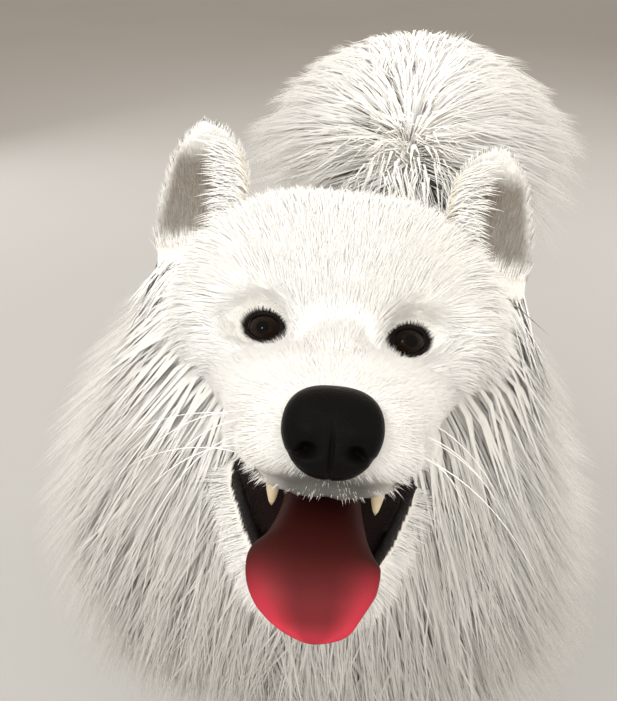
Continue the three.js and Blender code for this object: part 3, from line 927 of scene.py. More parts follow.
@dataclass
class Ear:
    """A leaf with a hollow front, for the head's frame.

    The place at a rise from base to tip and a share across is the middle line plus share times the
    width, hollowed by cup * (1 - share^2), with the thickness laid to the front or back of it.
    """

    side: int
    base: tuple = (79.0, 70.0, 34.0)
    tip: tuple = (83.0, 67.0, 104.0)
    cup: float = 11.0
    width: float = 34.0
    thickness: float = 3.2
    facing: tuple = (0.22, -0.97, 0.08)

    def across(self, rise: Array) -> Array:
        """The direction across the leaf at a rise."""
        return unit(np.stack([0.72 + 0.2 * rise, np.full_like(rise, 0.12), -0.68 + 0.36 * rise], -1))

    def hollow(self, rise: Array, share: Array) -> Array:
        """How far the leaf's middle sheet is pressed back, below zero."""
        return -self.cup * (1 - share**2) * np.sin(np.pi * np.minimum(1, rise * 1.05 + 0.08))

    def leaf(self, rise: Array, share: Array, depth: Array, reach: Array) -> Array:
        """Places on the leaf.

        Args:
            rise: how far from the base to the tip.
            share: how far across, from -1 to 1.
            depth: which side of the middle sheet, from -1 at the back to 1 at the front.
            reach: the leaf's fullness there, which is zero at its ends.

        Returns:
            Places in the head's frame.
        """
        width = self.width * np.maximum(0, 1 - rise**1.9) ** 0.62 * np.minimum(1, reach * 1.6)
        hollow = self.hollow(rise, share)
        line = np.array(self.base) * (1 - rise[..., None]) + np.array(self.tip) * rise[..., None]
        front = hollow + depth * self.thickness * np.sqrt(reach)
        made = line + self.across(rise) * (share * width)[..., None]
        made = made + unit(np.array(self.facing)) * front[..., None]
        return made * np.array([self.side, 1, 1])

    def surface(self, around: int = 48, along: int = 40) -> Surface:
        """The closed leaf."""
        a, b = sphere_angles(along, around)
        grid = self.leaf((1 - np.cos(a)) / 2, np.cos(b), np.sin(b), np.sin(a))
        zero = np.zeros(1)
        foot, tip = (self.leaf(zero + end, zero, zero, zero)[0] for end in (0, 1))
        return close_grid(grid, foot, tip)

    def coordinates(self, points: Array) -> tuple[Array, Array, Array]:
        """Rise, share across and height in front of the hollow sheet, for places in the head's frame.

        Args:
            points: places in the head's frame, (n, 3).

        Returns:
            The three numbers of each place, each (n,).
        """
        own = points * np.array([self.side, 1, 1])
        base, tip, facing = np.array(self.base), np.array(self.tip), unit(np.array(self.facing))
        line = tip - base
        rise = ((own - base) @ line) / (line @ line)
        held = np.clip(rise, 0, 0.97)
        away = own - base - rise[:, None] * line
        share = (away * self.across(held)).sum(1) / (self.width * np.maximum(0.05, 1 - held**1.9) ** 0.62)
        return rise, share, away @ facing - self.hollow(held, np.clip(share, -1, 1))


EARS = {hand: Ear(side) for hand, side in SIDES.items()}


@dataclass
class Mouth:
    """The lines of the lips, in the head's frame."""

    upper: tuple = (
        (40, -8, -46), (37, -30, -50), (33, -56, -52),
        (23, -80, -52.5), (8, -92, -53), (0, -93, -52),
    )
    lower: tuple = ((43, -10, -66), (33, -38, -79), (23, -60, -90), (10, -73, -96), (0, -75, -97))

    def line(self, half: tuple) -> Array:
        """Both halves of a lip as one line.

        Args:
            half: places from the corner of the mouth to the middle.

        Returns:
            Places on the smooth curve through them and its mirror image, (80, 3).
        """
        s = np.linspace(0, 1, 40)
        right, _ = catmull_rom(np.array(half, float), s)
        return np.vstack([right, right[::-1] * np.array([-1, 1, 1])])

    def lips(self) -> list[Surface]:
        """The two lips as tubes."""
        made = []
        for half, radius in ((self.upper, 2.0), (self.lower, 2.6)):
            line = self.line(half)[1:-1:2]
            made.append(sweep(line, np.full(len(line), radius), 10))
        return made


MOUTH = Mouth()


# The eyes


@dataclass
class Eye:
    """An eyeball with its lids: a bulged sphere and a black rim that follows an almond on it.

    The rim lies on a sphere round the eyeball. Its corners are at plus and minus the half width, its
    height is a sine that is higher above than below, and it is turned up towards the outer corner.
    """

    side: int
    radius: float = EYE_RADIUS
    half_width: float = 9.4
    upper: float = 7.4
    lower: float = 6.6
    slant: float = 10.0
    lean: float = 17.0
    outward: float = 10.0

    def axes(self) -> Array:
        """Rows: along the lids to the outer corner, up, and out of the eye, in the head's frame."""
        matrix = turned(2, self.side * self.outward) @ turned(0, -self.lean)
        matrix = matrix @ turned(1, -self.side * self.slant)
        return np.array([matrix @ (self.side, 0, 0), matrix @ (0, 0, 1), matrix @ (0, -1, 0)])

    def centre(self) -> Array:
        """The eyeball's centre in the head's frame."""
        return np.array([self.side * EYE_CENTRE[0], EYE_CENTRE[1], EYE_CENTRE[2]])

    def local(self, points: Array) -> Array:
        """Places in the eye's own axes: outer, up, out."""
        return (points - self.centre()) @ self.axes().T

    def placed(self, local: Array) -> Array:
        """The head's frame from the eye's own axes."""
        return local @ self.axes() + self.centre()

    def front(self) -> Array:
        """The eyeball's foremost place in the head's frame."""
        return self.placed(np.array([0.0, 0.0, self.radius]))

    def almond(self, angle: Array) -> Array:
        """Outer and up of the lids' edge at an angle round it."""
        height = np.where(np.sin(angle) > 0, self.upper, self.lower)
        up = height * np.sin(angle) * (1 - 0.12 * np.cos(angle))
        return np.stack([self.half_width * np.cos(angle), up], -1)

    def opening(self, local: Array) -> Array:
        """How far out each place is, with one on the lids' edge."""
        height = np.where(local[:, 1] > 0, self.upper, self.lower)
        return np.hypot(local[:, 0] / self.half_width, local[:, 1] / height)

    def ball(self) -> tuple[Array, list, Array]:
        """The eyeball, its faces, and its gaze: the angle from the line of sight in two directions.

        The radius at an angle a from the line of sight is R * (1 + 0.06 * bell(a)), which is the cornea.
        """
        a, b = sphere_angles(72, 96)
        radius = self.radius * (1 + 0.06 * bell(a, 0.55))
        grid = np.stack([np.sin(a) * np.cos(b), np.sin(a) * np.sin(b), np.cos(a)], -1) * radius[..., None]
        front, back = np.array([0, 0, self.radius * 1.06]), np.array([0, 0, -self.radius])
        vertices, faces = close_grid(grid, front, back)
        gaze = np.stack([a * np.cos(b), a * np.sin(b)], -1).reshape(-1, 2)
        gaze = np.vstack([gaze, [[0, 0], [np.pi, 0]]])
        return self.placed(vertices), faces, np.hstack([gaze, np.zeros((len(gaze), 1))])

    def rim(self) -> Surface:
        """The lids' black edge: a ring of round sections, thicker above and at the inner corner.

        Returns:
            Vertices and faces in the head's frame.
        """
        angle = np.linspace(0, 2 * np.pi, 72, endpoint=False)
        edge = self.almond(angle)
        over = self.radius + 0.7
        out = np.sqrt(np.maximum(over**2 - (edge**2).sum(1), 4))
        middle = np.column_stack([edge, out])
        radius = 0.8 + 0.3 * np.maximum(0, np.sin(angle)) + 0.9 * bell(np.abs(angle - np.pi), 0.5)
        tangent = unit(np.roll(middle, -1, 0) - np.roll(middle, 1, 0))
        normal = unit(middle)
        across = np.cross(tangent, normal)
        turn = np.linspace(0, 2 * np.pi, 12, endpoint=False)
        ring = np.cos(turn)[None, :, None] * across[:, None] + np.sin(turn)[None, :, None] * normal[:, None]
        grid = middle[:, None] + ring * radius[:, None, None]
        i, j = np.meshgrid(np.arange(72), np.arange(12), indexing="ij")
        k, m = (i + 1) % 72, (j + 1) % 12
        faces = np.stack([i * 12 + j, i * 12 + m, k * 12 + m, k * 12 + j], -1).reshape(-1, 4)
        return self.placed(grid.reshape(-1, 3)), faces.tolist()

    def lashes(self, rng: Chance) -> list[Surface]:
        """Short dark lashes round the upper lid and the corners.

        Args:
            rng: chance.

        Returns:
            A tapering tube for each lash, in the head's frame.
        """
        made = []
        for angle in np.linspace(-0.25, np.pi + 0.35, 34):
            angle = angle + rng.normal(0, 0.04)
            edge = self.almond(np.array([angle]))[0]
            out = math.sqrt(max((self.radius + 1.4) ** 2 - (edge**2).sum(), 4))
            root = np.array([*edge, out])
            away = unit(np.array([edge[0] * 0.9 + rng.normal(0, 1.2), edge[1] + 1.5, 3.0]))
            t = np.linspace(0, 1, 4)[:, None]
            path = root + away * t * rng.uniform(2.6, 4.6) + np.array([0, 0.9, -0.6]) * t * t
            made.append(sweep(self.placed(path), 0.22 * (1 - t[:, 0]) + 0.03, 4, up=(0.3, -1, 0.2)))
        return made

    def build(self, hand: str, eye: Material, leather: Material) -> None:
        """Makes the eyeball, which replaces its solid, and the rim with its lashes.

        Args:
            hand: left or right.
            eye: the eyeball's material.
            leather: the rim's material.
        """
        vertices, faces, gaze = self.ball()
        ball = head_piece(f"eyeball_{hand}", vertices, faces)
        paint(ball, "gaze", gaze)
        finished(ball, Slot.EYE, eye, f"eye_{hand}")
        vertices, faces = join([self.rim(), *self.lashes(np.random.default_rng(40 + self.side))])
        finished(head_piece(f"eyelids_{hand}", vertices, faces), Slot.LEATHER, leather)


EYES = {hand: Eye(side) for hand, side in SIDES.items()}


# Nose, tongue, teeth, whiskers and claws


@dataclass
class Nose:
    """The nose leather: a rounded box narrower below, with a groove and two nostrils.

    A direction d from the middle goes out to the place where the sum of |d / size|^power is one. The
    width is less below the middle; then the front is pressed in by a line down the middle and by two
    bells for the nostrils, each with a slit that runs out and down to the side.
    """

    centre: tuple = (0.0, -98.0, -28.5)
    size: tuple = (18.6, 13.0, 16.2)
    power: float = 2.6

    def surface(self) -> Surface:
        """The closed nose in the head's frame.

        Returns:
            Vertices and faces.
        """
        a, b = sphere_angles(96, 128)
        d = np.stack([np.sin(a) * np.cos(b), -np.cos(a), np.sin(a) * np.sin(b)], -1)
        scale = (np.abs(d / np.array(self.size)) ** self.power).sum(-1) ** (-1 / self.power)
        grid = d * scale[..., None]
        low = smooth(-grid[..., 2], -2.0, 17.0)
        grid[..., 0] *= 1 - 0.20 * low
        grid[..., 1] += 0.16 * grid[..., 2]
        x, z = np.abs(grid[..., 0]), grid[..., 2]
        front = smooth(-grid[..., 1], 1.0, 7.0)
        groove = 1.3 * bell(x, 0.9) * smooth(-z, -6.0, 3.0)
        hole = 6.5 * np.exp(-(((x - 8.4) / 3.0) ** 2) - ((z + 4.6) / 2.3) ** 2)
        slit_line = -5.6 - 0.20 * (x - 8) - 0.02 * (x - 8) ** 2
        slit = 3.0 * bell(z - slit_line, 1.25) * smooth(x, 7.0, 10.0) * (1 - smooth(x, 16.0, 19.0))
        wing = 1.4 * np.exp(-(((x - 9.5) / 5.0) ** 2) - ((z - 3.0) / 3.6) ** 2)
        grid[..., 1] += front * (groove + hole + slit - wing)
        ends = np.array([[0, -self.size[1] + 1.0, 0.0], [0, self.size[1], 0.0]])
        middle = np.array(self.centre)
        return close_grid(grid + middle, ends[0] + middle, ends[1] + middle)

    def build(self, material: Material) -> None:
        """Makes the nose, which replaces its solid."""
        finished(head_piece("nose_leather", *self.surface()), Slot.LEATHER, material, "nose")


FLESH = Loft(
    [
        (0, -10, -64, 17, 4, 6),
        (0, -45, -70, 17, 4, 6),
        (-1, -72, -75, 20, 4, 5),
        (-2, -86, -80, 25.5, 4, 4),
        (-1, -95, -90, 23.5, 3.5, 4),
        (0, -99, -100, 16, 3, 3),
        (0, -100, -107, 8, 3, 3),
    ],
    blunt=(0.08, 0.12),
    fullness=2.2,
)


@dataclass
class Tongue:
    """A tongue that comes out over the lower teeth, widens and hangs, with a groove down its middle.

    It is a loft; its upper side is pressed in by a bell across the middle and its edges are curled up.
    """

    loft: Loft = field(default_factory=lambda: FLESH)

    def surface(self) -> tuple[Array, list, Array]:
        """Vertices, faces and the flesh attribute, in the head's frame."""
        tilt, angle = sphere_angles(120, 72)
        s = (1 - np.cos(tilt)) / 2
        grid = self.loft.point(s, angle, 0.0)
        *_, over = self.loft.frame(s)
        across = np.cos(angle)
        top = smooth(np.sin(angle), -0.1, 0.5)
        groove = -3.0 * bell(across, 0.13) * top * smooth(s, 0.1, 0.4) * (1 - smooth(s, 0.9, 1.0))
        groove = groove - 1.6 * bell(s - 0.70 - 0.03 * np.abs(across), 0.03) * top * bell(across, 0.5)
        curl = 2.2 * np.abs(across) ** 3 * (1 - smooth(s, 0.75, 0.98))
        lump = 0.25 * np.sin(s * 40 + 3 * across) * bell(across, 0.7) * top
        grid = grid + over * (groove + curl + lump)[..., None]
        ends, _ = catmull_rom(self.loft.table, np.array([0.0, 1.0]))
        vertices, faces = close_grid(grid, ends[0, :3], ends[1, :3])
        # Painted light and shadow: the sides and tip are set lighter, the middle and the part in the mouth
        # darker, as in the muzzle's shadow.
        painted_light = 0.62 * smooth(np.abs(across), 0.2, 0.85) + 0.4 * smooth(s, 0.78, 0.96)
        out = smooth(s, 0.46, 0.80) * (0.28 + painted_light)
        edge = np.maximum(smooth(np.abs(across), 0.5, 1.0), smooth(s, 0.8, 0.97))
        flesh = np.stack([np.clip(out, 0, 1), edge, 0 * s], -1).reshape(-1, 3)
        return vertices, faces, np.vstack([flesh, [[0, 0, 0], [1, 1, 0]]])

    def build(self, material: Material) -> None:
        """Makes the tongue, which replaces its solid."""
        vertices, faces, flesh = self.surface()
        tongue = head_piece("tongue_flesh", vertices, faces)
        paint(tongue, "flesh", flesh)
        finished(tongue, Slot.TONGUE, material, "tongue")


@dataclass
class Teeth:
    """Upper canines, and the small teeth beside them: cones bent back along an arc.

    A row of small is the root's x, y, z on the left side and the tooth's length.
    """

    canine: tuple = (20.5, -74.0, -44.0)
    small: tuple = (
        (23, -62, -47, 9), (26, -52, -47, 9), (29, -41, -46, 10),
        (6, -86, -49, 5), (11, -83, -48, 6),
    )

    def cone(self, root: tuple, drop: float, radius: float, side: int) -> Surface:
        """One tooth: its radius is r * (1 - t)^0.6, and its middle bends forwards and then back.

        Args:
            root: the middle of its root on the left side.
            drop: its length.
            radius: its radius at the root.
            side: 1 on the left, -1 on the right.

        Returns:
            Vertices and faces in the head's frame.
        """
        t = np.linspace(0, 1, 12)
        path = np.stack([0 * t, -3.0 * t + 4.5 * t * t, -drop * t], -1) + np.array(root)
        return sweep(path * np.array([side, 1, 1]), radius * (1 - t) ** 0.6 + 0.2, 14, up=(0, 1, 0.1))

    def build(self, material: Material) -> None:
        """Makes a canine a side, which replaces its solid, and the small teeth."""
        for hand, side in SIDES.items():
            tooth = head_piece(f"canine_{hand}", *self.cone(self.canine, 21.0, 4.4, side))
            finished(tooth, Slot.TOOTH, material, f"tooth_{hand}")
            row = join([self.cone(small[:3], small[3], 2.6, side) for small in self.small])
            finished(head_piece(f"small_teeth_{hand}", *row), Slot.TOOTH, material)


@dataclass
class Whiskers:
    """Long thin white hairs from the muzzle's sides, each a tapering tube along a drooping curve."""

    each_side: int = 6
    radius: float = 0.17
    ways: tuple = ((0.7, 1.1), (-0.35, 0.35), (-0.35, 0.1))

    def build(self, material: Material) -> None:
        """Makes all the whiskers as one piece."""
        rng = np.random.default_rng(77)
        parts = []
        for side in SIDES.values():
            for _ in range(self.each_side):
                y, z = rng.uniform(-80, -52), rng.uniform(-45, -28)
                root = np.array([side * np.interp(y, [-88, -62], [31, 38]), y, z])
                length = rng.uniform(34, 70)
                sideways, back, up = (rng.uniform(*limits) for limits in self.ways)
                away = unit(np.array([side * sideways, back, up]))
                t = np.linspace(0, 1, 12)[:, None]
                path = root + away * t * length + np.array([0, 16.0, rng.uniform(-46, -20)]) * t * t
                parts.append(sweep(path, self.radius * (1 - t[:, 0] ** 1.5) + 0.05, 5, up=(0.1, 0.3, 1)))
        vertices, faces = join(parts)
        piece = head_piece("whiskers", vertices, faces)
        paint(piece, "hair", np.tile([0.8, 1.0, 0.0], (len(vertices), 1)))
        finished(piece, Slot.COAT, material)


def build_claws(material: Material) -> None:
    """Makes the claws of all four paws as one piece."""
    vertices, faces = join([claw for paw in PAWS for claw in paw.claws()])
    finished(new_object("claws", vertices, faces), Slot.LEATHER, material)


# Skin


def under_nose(points: Array) -> Array:
    """From 0 to 1, how much places in the head's frame are on the dark skin between nose and lip."""
    x, y, z = points.T
    return (1 - smooth(np.hypot(x * 0.42, z + 51), 5.0, 14.0)) * smooth(-y, 74.0, 84.0)


@dataclass
class Skin:
    """One closed skin over the whole dog, fine on the head and coarser on the body."""

    head_voxel: float = 1.7
    body_voxel: float = 5.5
    middle: tuple = ("head", "lower_jaw", "neck", "chest", "loin", "tail_base", "tail_middle", "tail_tip")
    paired: tuple = ("ear", "foreleg_upper", "foreleg_lower", "fore_paw", "thigh", "shank", "hind_paw")

    def remeshed(self, name: str, parts: list, voxel: float, rounds: int) -> Piece:
        """Closed surfaces joined into one by voxels, then smoothed.

        Args:
            name: the object's name.
            parts: surfaces in the dog's frame.
            voxel: the voxels' size in millimetres.
            rounds: how often the result is smoothed.

        Returns:
            The joined skin.
        """
        made = new_object(name, *join(parts))
        remesh = made.modifiers.new("joined", "REMESH")
        remesh.mode = "VOXEL"
        remesh.voxel_size = voxel * MM
        soften = made.modifiers.new("softened", "SMOOTH")
        soften.factor = 0.5
        soften.iterations = rounds
        apply_modifiers(made)
        return made

    def head_parts(self) -> list:
        """The surfaces of the head, in the dog's frame."""
        parts = [loft.surface(56, 60) for loft in (SKULL, BRIDGE, JAW)]
        parts += [ear.surface() for ear in EARS.values()]
        for side in SIDES.values():
            brow = ellipsoid((side * 27, 15, 17), (19, 13, 8.5))
            lip_pad = ellipsoid((side * 17, -80, -37), (17, 17, 14))
            flew = ellipsoid((side * 30, -40, -40), (13, 38, 13.5))
            parts += [brow, lip_pad, flew]
        parts += MOUTH.lips()
        return [(FRAMES.from_head(vertices), faces) for vertices, faces in parts]

    def body_parts(self) -> list:
        """The surfaces of the body, in the dog's frame."""
        lofts = [NECK, TRUNK, TAIL, *[leg(side) for leg in (fore_leg, hind_leg) for side in SIDES.values()]]
        parts = [loft.surface(40, 60) for loft in lofts]
        return parts + [part for paw in PAWS for part in paw.parts()]

    def soften(self, made: Piece) -> None:
        """Smooths the head's skin between the brows and over the bridge of the nose, fading out around."""
        x, y, z = FRAMES.to_head(coordinates(made)).T
        share = (1 - smooth(np.abs(x), 26.0, 40.0)) * smooth(y, -56.0, -40.0) * (1 - smooth(y, 34.0, 50.0))
        share = share * smooth(z, -24.0, -12.0)
        group = made.vertex_groups.new(name="brow")
        for tenth in range(1, 11):
            group.add(np.flatnonzero(np.round(share * 10) == tenth).tolist(), tenth / 10, "REPLACE")
        brow = made.modifiers.new("brow", "SMOOTH")
        brow.factor = 0.5
        brow.iterations = 40
        brow.vertex_group = "brow"
        apply_modifiers(made)

    def shape_sockets(self, points: Array) -> Array:
        """Lids and sockets: the skin is pulled to just over the eyeball at the lids and blends away.

        Out of the eye, the target is a sphere a millimetre larger than the eyeball, never lower than the
        root of lowest, which turns into the old surface from 1.15 to 2.4 times the opening; inside the
        opening the skin goes behind the ball.

        Args:
            points: places of the skin in the head's frame, (n, 3).

        Returns:
            The moved places.
        """
        lowest, fades, behind = 52.0, (1.15, 2.4), 2.0
        for eye in EYES.values():
            local = eye.local(points)
            reach = eye.opening(local)
            near = (reach < fades[1]) & (local[:, 2] > 0)
            flat = local[:, :2] / np.maximum(reach, 1.0)[:, None]
            sphere = (eye.radius + 1.0) ** 2 - (flat**2).sum(1)
            over = np.where(reach < 0.98, behind, np.sqrt(np.maximum(sphere, lowest)))
            blend = smooth(reach, *fades)
            local[near, 2] = (over * (1 - blend) + local[:, 2] * blend)[near]
            points = np.where(near[:, None], eye.placed(local), points)
        return points

    def marks(self, points: Array, normals: Array) -> tuple[Array, Array]:
        """Marking masks, and how bare of hair the skin is.

        The lips and lids are bands beside their lines; the lining is the mouth's roof and floor, found by
        their place and by which way the skin faces; an ear is brown inside its hollow, partly its skin's
        colour and partly painted shade.

        Args:
            points: places in the head's frame, (n, 3).
            normals: the skin's normals there, (n, 3).

        Returns:
            Black leather, ear brown and mouth lining as (n, 3), and bareness as (n,).
        """
        x, y, z = points.T
        upper = to_line(points, MOUTH.line(MOUTH.upper))
        lower = to_line(points, MOUTH.line(MOUTH.lower))
        corner = smooth(np.abs(x), 22.0, 30.0)
        black = (1 - smooth(upper, 2.2, 3.6)) * (0.35 + 0.65 * corner)
        black = np.maximum(black, 1 - smooth(lower, 2.8, 4.2))
        roof = (normals[:, 2] < -0.3) & (np.abs(x) < np.interp(y, [-88, -66, -40, 5], [14, 31, 37, 42]))
        roof &= (z > -66) & (z < -46) & (y > -88)
        edge = smooth(-normals[:, 2], 0.15, 0.5) * (y < -5) * (z < -44) * (z > -66)
        floor = np.abs(x) < np.interp(y, [-75, -60, -36, -10, 10], [12, 24, 34, 43, 45])
        floor &= (normals[:, 2] > 0.0) & (z < -58)
        lining = ((roof | floor) & (y < 12)).astype(float)
        ear = np.zeros(len(points))
        for one in EARS.values():
            rise, share, height = one.coordinates(points)
            # Ear brown in the hollow: partly the skin's own colour, partly painted shade.
            inner = smooth(height, 0.0, 1.5) * (1 - smooth(np.abs(share), 0.5, 0.72))
            inner = inner * (1 - smooth(rise, 0.66, 0.86)) * smooth(rise, -0.04, 0.08)
            ear = np.maximum(ear, inner * (np.abs(height) < 14) * (x * one.side > 30))
        rim = np.zeros(len(points))
        for eye in EYES.values():
            rim = np.maximum(rim, (1 - smooth(eye.opening(eye.local(points)), 1.12, 1.34)) * (y < 20))
        black = np.maximum(black, rim)
        bare = np.clip(np.maximum.reduce([smooth(black, 0.55, 0.8), lining, edge]), 0, 1)
        return np.stack([np.maximum(black, 0.88 * under_nose(points)), 0.9 * ear, lining], -1), bare

    def lie(self, points: Array) -> Array:
        """A vector that changes fast across the hair and slowly along it.

        On the head it is the direction away from the nose, times a number that makes fine streaks, with a
        little of the distance from the nose; on the body it is the place with its height pressed.

        Args:
            points: places in the dog's frame, (n, 3).

        Returns:
            The vectors, (n, 3).
        """
        head = FRAMES.to_head(points)
        away = head - np.array(NOSE_CENTRE)
        distance = np.linalg.norm(away, axis=1, keepdims=True)
        streaks = away / np.maximum(distance, 1) * 130 + distance * 0.05
        body = points * np.array([0.9, 0.9, 0.12])
        share = smooth(distance, 150.0, 200.0)
        return streaks * (1 - share) + body * share

    def build(self, material: Material) -> Piece:
        """Makes the skin, which replaces every solid of flesh.

        Args:
            material: the skin's material.

        Returns:
            The skin.
        """
        head = self.remeshed("head_skin", self.head_parts(), self.head_voxel, 4)
        self.soften(head)
        shaped = self.shape_sockets(FRAMES.to_head(coordinates(head)))
        move_to(head, FRAMES.from_head(shaped))
        made = self.remeshed("skin", self.body_parts(), self.body_voxel, 4)
        grounded = coordinates(made)
        grounded[:, 2] = np.maximum(grounded[:, 2], 0.2)
        move_to(made, grounded)
        union = made.modifiers.new("with head", "BOOLEAN")
        union.operation = "UNION"
        union.solver = "MANIFOLD"
        union.object = head
        apply_modifiers(made)
        bpy.data.objects.remove(head)
        points, normals = coordinates(made), read(made.data.vertex_normals, "vector")
        marks, _ = self.marks(FRAMES.to_head(points), normals @ FRAMES.turn)
        paint(made, "mark", marks)
        paint(made, "lie", self.lie(points))
        made.data.polygons.foreach_set("use_smooth", np.ones(len(made.data.polygons), bool))
        paired = [f"{name}_{hand}" for name in self.paired for hand in SIDES]
        return finished(made, Slot.COAT, material, *self.middle, *paired)


# Coat


@dataclass
class Tufts:
    """Tufts as closed three-sided strands, worked out together.

    Each runs along its own curve of a few points. A ring has a ridge that looks out and a flat back, its
    width follows a profile from root to tip, and the last point is a single tip.

    Flat is the ridge's height over the width. Softness is how much the shading turns from the strand's
    own faces to the direction out of the body. At its root a tuft is already pale of the way to the tip's
    colour, and its share of the dark colour, which is dark skin or painted shade, fades by fade towards the
    tip.
    """

    curves: Array
    out: Array
    width: Array
    tone: Array
    mark: Array
    place: Array
    flat: float = 0.3
    softness: float = 0.8
    pale: float = 0.0
    fade: float = 0.5

    def rings(self) -> int:
        """Rings a tuft."""
        return self.curves.shape[1] - 1

    def triangles(self) -> int:
        """Triangles a tuft."""
        return 6 * (self.rings() - 1) + 4

    def some(self, chosen: Array) -> "Tufts":
        """The chosen tufts."""
        fields = ("curves", "out", "width", "tone", "mark", "place")
        return replace(self, **{name: getattr(self, name)[chosen] for name in fields})

    def pattern(self) -> Array:
        """One tuft's triangles: two to each side between rings, three to the tip and one at the root."""
        made = []
        for ring in range(self.rings() - 1):
            for a, b in ((3 * ring + j, 3 * ring + (j + 1) % 3) for j in range(3)):
                made += [[a, b, b + 3], [a, b + 3, a + 3]]
        last = (self.rings() - 1) * 3
        made += [[last + j, last + (j + 1) % 3, last + 3] for j in range(3)]
        return np.array(made + [[0, 2, 1]])

    def mesh(self) -> tuple[Array, Array, Array, Array, Array]:
        """Vertices, triangles, the hair attribute, the OFBake place and the normal of each vertex.

        A corner is the curve's point plus half the width times cos(a) * side + flat * sin(a) * over, with
        a at 90, 210 and 330 degrees, side square to the curve and to out, and over square to both.

        Returns:
            Arrays with a row for each vertex, apart from the triangles, (m, 3).
        """
        count, steps, _ = self.curves.shape
        rings = self.rings()
        tangent = unit(np.gradient(self.curves, axis=1))
        out = np.broadcast_to(self.out.reshape(count, -1, 3), (count, steps, 3))
        side = unit(np.cross(tangent, out))
        over = np.cross(side, tangent)
        t = np.linspace(0, 1, steps)[:rings]
        profile = np.interp(t, [0, 0.35, 0.7, 1], [0.75, 1.0, 0.72, 0.0]) if rings > 1 else np.array([1.0])
        size = self.width[:, None] * profile / 2
        corner = np.radians([90, 210, 330])
        across = np.cos(corner)[None, None, :, None] * side[:, :rings, None]
        ridge = np.sin(corner)[None, None, :, None] * over[:, :rings, None] * self.flat
        ring = self.curves[:, :rings, None] + (across + ridge) * size[..., None, None]
        vertices = np.concatenate([ring.reshape(count, rings * 3, 3), self.curves[:, -1:]], axis=1)
        each = rings * 3 + 1
        faces = (self.pattern()[None] + (np.arange(count) * each)[:, None, None]).reshape(-1, 3)
        along = np.concatenate([np.repeat(t, 3), [1.0]])
        hair = np.empty((count, each, 3))
        hair[..., 0] = self.tone[:, None]
        hair[..., 1] = self.pale + (1 - self.pale) * along
        hair[..., 2] = self.mark[:, None] * (1 - self.fade * along)
        spot = np.concatenate([np.tile(np.cos(corner), rings), [0.0]]) * PATCH / 2
        uv = np.stack([self.place[:, :1] + spot, self.place[:, 1:] + (along - 0.5) * PATCH], -1)
        own = unit(across / 2 + ridge)
        soft = unit(own * (1 - self.softness) + out[:, :rings, None] * self.softness)
        tip = unit(over[:, -1] * (1 - self.softness) + out[:, -1] * self.softness)
        normals = np.concatenate([soft.reshape(count, rings * 3, 3), tip[:, None]], axis=1)
        vertices, hair, normals = (part.reshape(-1, 3) for part in (vertices, hair, normals))
        return vertices, faces, hair, uv.reshape(-1, 2), normals

    def build(self, name: str, material: Material) -> None:
        """Makes the tufts as one piece with its attribute and its OFBake map.

        Args:
            name: the piece's name.
            material: the coat's material.
        """
        vertices, faces, hair, uv, normals = self.mesh()
        probe = vertices[faces[: self.triangles()]]
        middle = probe.mean((0, 1))
        a, b, c = (probe[:, k] - middle for k in range(3))
        if np.einsum("ij,ij->i", a, np.cross(b, c)).sum() < 0:
            faces = faces[:, ::-1]
        made = new_object(name, vertices, np.ascontiguousarray(faces))
        paint(made, "hair", hair)
        layer = made.data.uv_layers.new(name="OFBake")
        layer.data.foreach_set("uv", uv[faces.ravel()].astype(np.float32).ravel())
        made.data.normals_split_custom_set_from_vertices(normals)
        finished(made, Slot.COAT, material)

    def build_split(self, name: str, turn: Array, material: Material) -> None:
        """Makes the tufts as pieces of neighbours, none with too many triangles.

        Args:
            name: the piece's name, which gets a number where there are several.
            turn: each tuft's angle round the body, by which neighbours go together.
            material: the coat's material.
        """
        pieces = math.ceil(len(self.width) * self.triangles() / TRIANGLES_A_PIECE)
        for number, chosen in enumerate(np.array_split(np.argsort(turn, kind="stable"), pieces)):
            self.some(chosen).build(name if pieces == 1 else f"{name}_{number + 1}", material)


def clumped(curves: Array, rng: Chance, size: float, pull: float, wave: float, waves: float) -> Array:
    """Tufts drawn together towards the tips and waved in groups.

    Space is cut into cubes, and one tuft with its tip in each leads the tufts whose tips are nearest its
    own. A place at t along a tuft moves towards the same place on its leader by pull * t^1.3, and sideways
    by wave * t * sin(waves * 2 pi t + a phase of the group).

    Args:
        curves: the tufts' curves, (n, k, 3).
        rng: chance.
        size: how far apart the leaders' tips are, in millimetres.
        pull: how much of the way a tip moves.
        wave: the wave's height in millimetres.
        waves: the waves along a tuft.

    Returns:
        The moved curves.
    """
    count, steps, _ = curves.shape
    middle = curves[:, -1]
    cells = np.floor(middle / size + rng.uniform(0, 1, 3)).astype(int)
    _, leaders = np.unique(cells, axis=0, return_index=True)
    best = np.empty(count, int)
    for block in np.array_split(np.arange(count), math.ceil(count / 2000)):
        away = middle[block, None] - middle[leaders][None]
        best[block] = np.argmin((away**2).sum(2), axis=1)
    leader = leaders[best]
    t = np.linspace(0, 1, steps)
    share = (pull * rng.uniform(0.6, 1.1, count))[:, None] * t**1.3
    moved = curves + (curves[leader] - curves) * share[..., None]
    phase = rng.uniform(0, 2 * np.pi, (len(leaders), 2))[best]
    tangent = unit(curves[:, -1] - curves[:, 0])
    side = unit(np.cross(tangent, np.array([0.0, 0, 1.0])))
    over = np.cross(side, tangent)
    sway, lift = (wave * t * np.sin(waves * 2 * np.pi * t + phase[:, k : k + 1]) for k in range(2))
    lift = 0.6 * lift
    return moved + side[:, None] * sway[..., None] + over[:, None] * lift[..., None]


